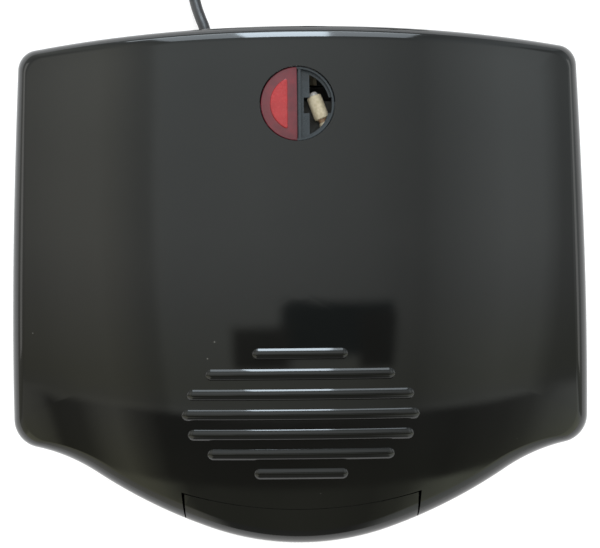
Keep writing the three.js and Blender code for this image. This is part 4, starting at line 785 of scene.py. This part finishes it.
notch_half, notch_floor, trough_front, trough_lap = 111.25 * mm, 33 * mm, 86.4 * mm, 3.2 * mm
recess_face, recess_floor = 4.5 * mm, flap_bottom - 0.6 * mm
base_tub = blank("base_tub", tub(0))
carve(base_tub, tool_from(tub(base_wall, 1 * mm)))
trough = block_tool((-far, trough_front - trough_lap, notch_floor - base_wall), (far, far, notch_floor))
carve(trough, tool_from(tub(0.4 * base_wall)), "INTERSECT")
carve(base_tub, trough, "UNION")
carve(base_tub, block_tool((-notch_half, trough_front, notch_floor), (notch_half, far, apex_height)))
recess = tool_from(dome(0, [recess_floor, lid_bottom]))
carve(recess, tool_from(dome(recess_face, [recess_floor - 1 * mm, lid_bottom])))
carve(recess, nose_tool(open_half, recess_floor), "INTERSECT")
carve(base_tub, recess)
finish_piece(base_tub, "base", gloss_black, "gloss_black", "base_shell")
deck_near = 3.3 * mm
deck_face = parting - deck_near
trough_wall = blank("trough_wall", plan_block(base_wall, notch_floor - base_wall, deck_face))
carve(trough_wall, block_tool((-far, trough_front - base_wall, 0), (far, trough_front, apex_height)), "INTERSECT")
round_edges(trough_wall, 0.3 * mm, lambda p: p.z > deck_face - 0.1 * mm)
finish_piece(trough_wall, "base", gloss_black, "gloss_black")

# Catch: the wall behind the latch's recess in the base, with a slot that the hook enters.
# A shelf under it closes the floor of the recess.
catch_half, catch_line = 17.1 * mm, -60 * mm
catch_wall = blank("catch_wall", plan_block(recess_face, recess_floor - base_wall, deck_face))
carve(catch_wall, tool_from(plan_block(recess_face + base_wall, recess_floor, apex_height)))
carve(catch_wall, nose_tool(open_half + base_wall, rear=catch_line), "INTERSECT")
carve(catch_wall, nose_tool(catch_half, hook_low - 0.3 * mm, hook_low + hook_height + 0.6 * mm, catch_line))
carve(catch_wall, tool_from(tub(0)), "INTERSECT")
finish_piece(catch_wall, "base", gloss_black, "gloss_black")
recess_shelf = blank("recess_shelf", plan_block(0.2 * mm, recess_floor - base_wall, recess_floor))
carve(recess_shelf, tool_from(plan_block(recess_face + base_wall, 0, apex_height)))
carve(recess_shelf, nose_tool(open_half + base_wall, rear=catch_line), "INTERSECT")
carve(recess_shelf, tool_from(tub(0)), "INTERSECT")
finish_piece(recess_shelf, "base", gloss_black, "gloss_black")

# Hinge: two knuckles that hang from the lid, each between two ears that stand in the base's trough, and a steel pin
# through each three. Knuckles and ears are part of the black mouldings.
hinge_y, hinge_x, hinge_pin_radius = 94.4 * mm, 60 * mm, 2 * mm
knuckle, knuckle_width, ear_width, ear_gap = 3.6 * mm, 12 * mm, 5 * mm, 0.4 * mm
ear_step = knuckle_width / 2 + ear_gap + ear_width / 2
pin_half = ear_step + ear_width / 2
for side, word in ((-1, "left"), (1, "right")):
    middle = side * hinge_x
    top = crown(middle, hinge_y) - lid_wall
    hanger = arc_points(hinge_y, parting, knuckle, 180, 360) + [
        (hinge_y + knuckle, top - 4 * mm), (hinge_y - knuckle, top)]
    side_block("lid_knuckle_" + word, hanger, middle - knuckle_width / 2, middle + knuckle_width / 2, "lid")
    for step, place in ((-1, "a"), (1, "b")):
        ear_x = middle + step * ear_step
        ear = [(trough_front, notch_floor), (hinge_y - 0.5 * knuckle, parting - 0.87 * knuckle)]
        ear += arc_points(hinge_y, parting, knuckle, -90, 90)
        ear += [(hinge_y - knuckle, parting + knuckle), (trough_front, deck_face)]
        side_block("base_ear_" + word + "_" + place, ear, ear_x - ear_width / 2, ear_x + ear_width / 2, "base")
    steel_pin("hinge_steel_pin_" + word, hinge_pin_radius, pin_half, (middle, hinge_y, parting), "base",
              "hinge_pin_" + word)

# Deck frames: matt black moulded frames that close the lid and the base round the plates.
# Each is held by four screws.
matt_black = grained("matt_black", (0.02, 0.02, 0.021), (0.028, 0.028, 0.029), (0.5, 0.62), grain_scale=1800.0,
                     grain_depth=0.00004)
plate_y, plate_width, plate_depth, plate_corner = 13 * mm, 212 * mm, 126 * mm, 14 * mm
deck_far, deck_inset, flange_width = 5.7 * mm, 3.8 * mm, 6 * mm
deck_gap, deck_round, lid_nose_room, nose_side_room = 0.3 * mm, 0.5 * mm, 10.7 * mm, 2.5 * mm
deck_hole = (plate_width - 2 * flange_width + 2 * deck_gap, plate_depth - 2 * flange_width + 2 * deck_gap,
             plate_corner - flange_width / 2)


def rounded_plan(width, depth, corner, steps=12):
    """Corners in order of a rounded rectangle about the plates' middle."""
    corners = []
    for turn, (sx, sy) in enumerate([(1, 1), (-1, 1), (-1, -1), (1, -1)]):
        centre = Vector((sx * (width / 2 - corner), plate_y + sy * (depth / 2 - corner)))
        for i in range(steps + 1):
            angle = math.pi / 2 * (turn + i / steps)
            corners.append((centre.x + corner * math.cos(angle), centre.y + corner * math.sin(angle)))
    return corners


for side, name, body, nose in ((1, "lid_deck", "lid", lid_nose_room),
                               (-1, "base_deck", "base", recess_face + base_wall + deck_gap)):
    low, high = sorted((parting + side * deck_near, parting + side * deck_far))
    deck = blank(name + "_frame", plan_block(deck_inset, low, high))
    carve(deck, tool_from(prism(rounded_plan(*deck_hole), low - 1 * mm, high + 1 * mm)))
    carve(deck, block_tool((-far, trough_front - base_wall - deck_gap, 0), (far, far, apex_height)))
    nose_room = nose_tool(open_half + nose_side_room, rear=catch_line)
    carve(nose_room, tool_from(plan_block(nose, -1 * mm, apex_height + 1 * mm)))
    carve(deck, nose_room)
    round_edges(deck, deck_round, lambda p, low=low, high=high: min(abs(p.z - low), abs(p.z - high)) < 0.1 * mm)
    finish_piece(deck, body, matt_black, "matte_black", name)

# Cooking plates: die-cast aluminium with a dark non-stick coating, each with two pairs of triangular pockets.
# The walls slope, every corner is rounded, and a bar between the pockets of a pair seals and cuts the bread.
non_stick = grained("non_stick", (0.026, 0.026, 0.028), (0.04, 0.04, 0.042), (0.3, 0.44), patch_scale=90.0,
                    grain_scale=2600.0, grain_depth=0.00003)
plate_seat, flange_far, pocket_far, pocket_wall = 0.5 * mm, 3 * mm, 13.5 * mm, 2.5 * mm
pocket_margin, pocket_taper, pocket_round, pocket_depth, plate_round = 4 * mm, 9 * mm, 14.4 * mm, 13 * mm, 0.7 * mm
tool_over = 1.5 * mm
bread_width, bread_depth, bread_gap = 98 * mm, 104 * mm, 8 * mm


def pocket_ring(corners, inset, height, steps=10):
    """A rounded triangle drawn in by an inset, as points at a height."""
    a, b, c = (Vector(p) for p in corners)
    sides = [(b - c).length, (c - a).length, (a - b).length]
    centre = (a * sides[0] + b * sides[1] + c * sides[2]) / sum(sides)
    radius = abs((b - a).cross(c - a)) / sum(sides)
    moved = [centre + (p - centre) * (1 - inset / radius) for p in (a, b, c)]
    ring = []
    for i, corner in enumerate(moved):
        before = corner + (moved[i - 1] - corner).normalized() * pocket_round
        after = corner + (moved[(i + 1) % 3] - corner).normalized() * pocket_round
        for k in range(steps + 1):
            t = k / steps
            point = before * (1 - t) ** 2 + corner * 2 * t * (1 - t) + after * t ** 2
            ring.append(Vector((point.x, point.y, height)))
    return ring


def pocket_tool(corners, levels):
    """Tapered triangular block through rings of (inset, height)."""
    bm = bmesh.new()
    loops = [closed_loop(bm, pocket_ring(corners, inset, height)) for inset, height in levels]
    for low, high in zip(loops, loops[1:]):
        bmesh.ops.bridge_loops(bm, edges=low + high)
    bmesh.ops.edgeloop_fill(bm, edges=loops[0])
    bmesh.ops.edgeloop_fill(bm, edges=loops[-1])
    bmesh.ops.recalc_face_normals(bm, faces=bm.faces[:])
    return tool_from(bm)


front, rear = plate_y - bread_depth / 2, plate_y + bread_depth / 2
triangles = []
for side in (-1, 1):
    inner, outer = side * bread_gap / 2, side * (bread_gap / 2 + bread_width)
    triangles += [((inner, front), (outer, front), (outer, rear)), ((inner, front), (outer, rear), (inner, rear))]
for side, name, body in ((1, "upper_cooking_plate", "lid"), (-1, "lower_cooking_plate", "base")):
    face, back = parting + side * plate_seat, parting + side * flange_far
    low, high = sorted((face, back))
    plate = blank(name.replace("_cooking", "") + "_casting",
                  prism(rounded_plan(plate_width, plate_depth, plate_corner), low, high))
    for corners in triangles:
        carve(plate, pocket_tool(corners, [
            (pocket_margin - pocket_wall, face + side * 0.3 * mm),
            (pocket_margin + pocket_taper - pocket_wall, parting + side * (pocket_far + pocket_wall))]), "UNION")
    for corners in triangles:
        carve(plate, pocket_tool(corners, [
            (pocket_margin - pocket_taper * tool_over / pocket_depth, face - side * tool_over),
            (pocket_margin + pocket_taper * 0.8, face + side * 10.4 * mm),
            (pocket_margin + pocket_taper * 0.93, face + side * 12.3 * mm),
            (pocket_margin + pocket_taper * 1.15, parting + side * pocket_far)]))
    round_edges(plate, plate_round, lambda p, face=face: abs(p.z - face) < 0.1 * mm, sharp_degrees=25, segments=3)
    finish_piece(plate, body, non_stick, "coated_plate", name)

# Screws of the plates and the deck frames: zinc-plated pan heads with a cross recess.
# One is turned, its cross is cut with two blades, and the rest are copies of it.
zinc = grained("zinc_plate", (0.5, 0.5, 0.48), (0.6, 0.59, 0.55), (0.24, 0.4), patch_scale=400.0, metallic=1.0)
head_radius, head_height, shank_radius, screw_length = 3.5 * mm, 1.3 * mm, 2 * mm, 9 * mm
blade_half, blade_thin, cross_depth = 1.9 * mm, 0.45 * mm, 0.9 * mm
pan_screw = turned("pan_screw", [
    (0, head_height), (1.9 * mm, head_height - 0.05 * mm), (2.9 * mm, head_height - 0.35 * mm),
    (head_radius, head_height - 1 * mm), (head_radius, 0), (shank_radius, 0), (shank_radius, -screw_length),
    (0, -screw_length)],
    (0, 0, 0), (0, 0, 1), None, zinc, steps=32)
for wide, deep in ((blade_half, blade_thin), (blade_thin, blade_half)):
    carve(pan_screw, block_tool((-wide, -deep, head_height - cross_depth), (wide, deep, head_height + 1 * mm)))
soften(pan_screw)
for node in sorted(frame["nodes"]):
    if "_screw_" not in node:
        continue
    low, high = (Vector(corner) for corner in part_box(node))
    facing_down = node.startswith(("lid_", "upper_"))
    seat = low.z + head_height if facing_down else high.z - head_height
    turn = Matrix.Rotation(math.pi, 4, "X") if facing_down else Matrix.Identity(4)
    copy = bpy.data.objects.new(node + "_zinc", pan_screw.data.copy())
    copy.data.transform(Matrix.Translation(((low.x + high.x) / 2, (low.y + high.y) / 2, seat)) @ turn)
    copy.data.materials.clear()
    copy.data.materials.append(zinc)
    scene.collection.objects.link(copy)
    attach(copy, "lid" if facing_down else "base")
    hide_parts(node)
bpy.data.objects.remove(pan_screw)

# Feet: four soft black rubber discs with a rounded edge and a shallow ring, held by a stud through the tub's floor.
# Only the disc shows under the base.
foot_rubber = grained("foot_rubber", (0.018, 0.018, 0.018), (0.028, 0.028, 0.028), (0.7, 0.85), grain_scale=1500.0,
                      grain_depth=0.00005)
foot_radius, foot_rise, stud_radius, stud_top = 8 * mm, 4.7 * mm, 3 * mm, 7.5 * mm
foot_step, foot_front, foot_rear = 78 * mm, -38 * mm, 66 * mm
for i, (foot_x, foot_y) in enumerate([(x, y) for x in (-foot_step, foot_step) for y in (foot_front, foot_rear)]):
    foot = turned("foot_" + str(i + 1), [
        (0, 0.4 * mm), (5.4 * mm, 0.4 * mm), (5.8 * mm, 0), (6.9 * mm, 0), (7.6 * mm, 0.3 * mm),
        (foot_radius, 1.1 * mm), (foot_radius - 0.2 * mm, 4 * mm), (foot_radius - 0.5 * mm, foot_rise),
        (stud_radius, foot_rise), (stud_radius, stud_top), (0, stud_top)],
        (foot_x, foot_y, 0), (0, 0, 1), "base", foot_rubber, steps=48)
    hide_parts("rubber_foot_" + str(i + 1))

# Lamp window: a grey moulded dish under the round hole, with a wall across its middle and an open floor on the right.
# The left half carries the red lens, and a dark shelf lies below.
dish_grey = grained("dish_grey", (0.013, 0.018, 0.022), (0.022, 0.029, 0.034), (0.2, 0.34), patch_scale=150.0,
                    grain_scale=3500.0)
dish_radius, dish_wall = 14 * mm, 0.8 * mm
dish_top = window_top - 1.4 * mm
dish_floor = window_top - 4 * mm
floor_thick, dish_bottom = 1.4 * mm, window_top - 10.7 * mm
divider_left, divider_right, divider_half, divider_drop = 0.35 * mm, 1.3 * mm, 13.6 * mm, 0.3 * mm
lamp_dish = turned("lamp_dish", [
    (0, dish_floor), (dish_radius - dish_wall, dish_floor), (dish_radius - dish_wall, dish_top - 0.1 * mm),
    (dish_radius - dish_wall / 2, dish_top), (dish_radius, dish_top - 0.1 * mm), (dish_radius, dish_bottom),
    (dish_radius - dish_wall, dish_bottom), (dish_radius - dish_wall, dish_floor - floor_thick),
    (0, dish_floor - floor_thick)],
    (0, window_y, 0), (0, 0, 1), "lid", dish_grey, steps=96)
carve(lamp_dish, block_tool((divider_left, window_y - divider_half, dish_floor - 0.5 * mm),
                            (divider_right, window_y + divider_half, dish_top - divider_drop)), "UNION")
gap_radius, gap_x, notch_x, notch_low, notch_high = 12.2 * mm, 4.6 * mm, 2.4 * mm, -3.3 * mm, 2.7 * mm


def half_moon(radius, x_edge, low, high, steps=48):
    """Tool for a slice of a round hole to the right of a line."""
    spread = math.acos(x_edge / radius)
    corners = [(radius * math.cos(a), window_y + radius * math.sin(a))
               for a in (spread * (2 * i / steps - 1) for i in range(steps + 1))]
    return tool_from(prism(corners, low, high))


carve(lamp_dish, half_moon(gap_radius, gap_x, dish_floor - 3 * mm, dish_floor + 1 * mm))
carve(lamp_dish, block_tool((notch_x, window_y + notch_low, dish_floor - 3 * mm),
                            (13 * mm, window_y + notch_high, dish_floor + 1 * mm)))
finish_piece(lamp_dish, "lid", dish_grey, "lamp_grey", "lamp_holder")
shelf_black = grained("shelf_black", (0.006, 0.006, 0.005), (0.014, 0.012, 0.009), (0.4, 0.6), patch_scale=300.0)
shelf_top, shelf_rear = dish_floor - floor_thick - 6.2 * mm, 2.4 * mm
lamp_shelf = round_tool(dish_radius - 0.5 * dish_wall, shelf_top - dish_wall, shelf_top, 0, window_y)
lamp_shelf.name = lamp_shelf.data.name = "lamp_shelf"
carve(lamp_shelf, block_tool((-far, window_y + shelf_rear, 0), (far, far, apex_height)))
finish_piece(lamp_shelf, "lid", shelf_black, "lamp_grey")

# Red lens: a clear red half-disc in the left of the window, with a raised half-moon in a brighter red.
# The band round the half-moon is painted a darker, duller red that stands for the reflection seen on it:
# both are one clear red. Its upper edges are rounded, and so are the half-moon's two corners.
# Painted reflection: the band's colour is darker and duller than the half-moon's to stand for reflected light.
lens_band_painted_reflection_red = grained("lens_band_painted_reflection_red", (0.075, 0.007, 0.013), (0.125, 0.009, 0.016), (0.16, 0.26), patch_scale=260.0,
                        grain_scale=1800.0, grain_depth=0.00002, Coat_Weight=0.4)
lens_moon_red = grained("lens_moon_red", (0.27, 0.006, 0.009), (0.32, 0.01, 0.013), (0.2, 0.32), patch_scale=300.0,
                        grain_scale=1600.0, grain_depth=0.00002, Coat_Weight=0.3)
lens_low, lens_top, lens_steps = dish_floor + 0.3 * mm, dish_top + 0.1 * mm, 52
lens_corner, lens_round = 1.1 * mm, 0.4 * mm
for name, radius, right, top, material in [
    ("lens_band", 14.05 * mm, -0.05 * mm, lens_top, lens_band_painted_reflection_red),
    ("lens_moon", 10.4 * mm, -3.7 * mm, lens_top + 0.35 * mm, lens_moon_red),
]:
    lens = bmesh.new()
    bmesh.ops.create_cone(lens, cap_ends=True, segments=lens_steps, radius1=radius, radius2=radius,
                          depth=top - lens_low)
    bmesh.ops.translate(lens, vec=(0, window_y, (top + lens_low) / 2), verts=lens.verts[:])
    cut = bmesh.ops.bisect_plane(lens, geom=lens.verts[:] + lens.edges[:] + lens.faces[:], dist=0.000001,
                                 plane_co=(right, 0, 0), plane_no=(1, 0, 0), clear_outer=True)
    bmesh.ops.edgeloop_fill(lens, edges=[g for g in cut["geom_cut"] if isinstance(g, bmesh.types.BMEdge)])
    if name == "lens_moon":
        corners = [e for e in lens.edges if e.calc_face_angle(0) > math.radians(40)
                   and abs(e.verts[0].co.z - e.verts[1].co.z) > 0.5 * mm]
        bmesh.ops.bevel(lens, geom=corners, offset=lens_corner, segments=6, profile=0.5, affect="EDGES", material=-1)
    top_edges = [e for e in lens.edges if all(abs(v.co.z - top) < 0.000001 for v in e.verts)]
    bmesh.ops.bevel(lens, geom=top_edges, offset=lens_round, segments=3, profile=0.5, affect="EDGES", material=-1)
    bmesh.ops.recalc_face_normals(lens, faces=lens.faces[:])
    piece = make_piece(name, lens, "lid", material, sharp_degrees=50)
    if name == "lens_band":
        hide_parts("red_lens")

# Indicator lamps: glass tubes in cream woven sleeves, lying on a shelf under the dish's floor.
# The right one has slipped round and shows through the open floor.
sleeve_cream = grained("sleeve_cream", (0.36, 0.31, 0.2), (0.52, 0.46, 0.33), (0.7, 0.85), patch_scale=900.0,
                       grain_scale=3200.0, grain_depth=0.00012)
lamp_brown = grained("lamp_neck", (0.16, 0.1, 0.055), (0.26, 0.17, 0.1), (0.4, 0.6), patch_scale=700.0,
                     grain_scale=2500.0, grain_depth=0.00005)
lamp_grey_glass = grained("lamp_glass_end", (0.3, 0.3, 0.29), (0.42, 0.41, 0.39), (0.12, 0.25), patch_scale=500.0)
lamp_x, lamp_shift, sleeve_radius, lamp_radius = 7.9 * mm, -0.6 * mm, 2.95 * mm, 2.1 * mm
lamp_height = dish_floor - floor_thick - 3.2 * mm
ready_tilt = math.radians(20)
for name, side, tilt in (("power", -1, 0.0), ("ready", 1, ready_tilt)):
    centre = (side * lamp_x, window_y + lamp_shift, lamp_height)
    along = (math.sin(tilt), -math.cos(tilt), 0)
    sleeve = turned(name + "_sleeve", [
        (1.6 * mm, -4.4 * mm), (2.2 * mm, -4.8 * mm), (2.75 * mm, -4.6 * mm), (sleeve_radius, -4.0 * mm),
        (sleeve_radius, 3.4 * mm), (2.75 * mm, 4.4 * mm), (2.1 * mm, 4.7 * mm), (1.7 * mm, 4.4 * mm),
        (1.7 * mm, 3.9 * mm)],
        centre, along, "lid", sleeve_cream, steps=40)
    neck = turned(name + "_lamp", [
        (0, -6.4 * mm), (1.2 * mm, -6.2 * mm), (1.8 * mm, -5.4 * mm), (lamp_radius, -4.2 * mm), (lamp_radius, -3 * mm)],
        centre, along, "lid", lamp_grey_glass, steps=32)
    turned(name + "_lamp_foot", [
        (lamp_radius, 3.0 * mm), (1.75 * mm, 4.8 * mm), (1.5 * mm, 5.6 * mm), (1.55 * mm, 6.2 * mm), (0, 6.3 * mm)],
        centre, along, "lid", lamp_brown, steps=32)
    turned(name + "_lamp_sleeve_end", [
        (1.5 * mm, 6.0 * mm), (1.9 * mm, 6.4 * mm), (2.0 * mm, 7.6 * mm), (1.7 * mm, 8.3 * mm), (0, 8.4 * mm)],
        centre, along, "lid", sleeve_cream, steps=32)
    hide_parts(name + "_lamp_sleeve")
    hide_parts(name + "_lamp")

# What stays as its solid: the heating elements, shields, controls and leads inside the shells, which are hidden
# while the machine is whole, and the plug's earth strip.
ceramic = grained("ceramic_white", (0.72, 0.7, 0.64), (0.8, 0.78, 0.73), (0.5, 0.65), patch_scale=200.0)
heated_steel = grained("heated_steel", (0.3, 0.28, 0.25), (0.4, 0.39, 0.36), (0.35, 0.5), patch_scale=90.0,
                       metallic=1.0)
shield_tin = grained("shield_tin", (0.66, 0.67, 0.68), (0.75, 0.76, 0.77), (0.25, 0.4), patch_scale=60.0, metallic=1.0)
finishes = {
    "matte_black": matt_black, "coated_plate": non_stick, "zinc_steel": zinc, "ceramic_white": ceramic,
    "element_steel": heated_steel, "shield_tin": shield_tin,
    "lamp_glass": lamp_grey_glass, "woven_sleeve": sleeve_cream, "foot_rubber": foot_rubber, "lead_rubber": lead_black,
    "plug_metal": pin_metal, "gloss_black": gloss_black, "lamp_grey": dish_grey, "lens_red": lens_band_painted_reflection_red,
}
slots = {part["node"]: part["material_slot"] for part in frame["record"]["subparts"]}
for node, solid in frame["nodes"].items():
    solid.data.materials.clear()
    solid.data.materials.append(finishes[slots[node]])
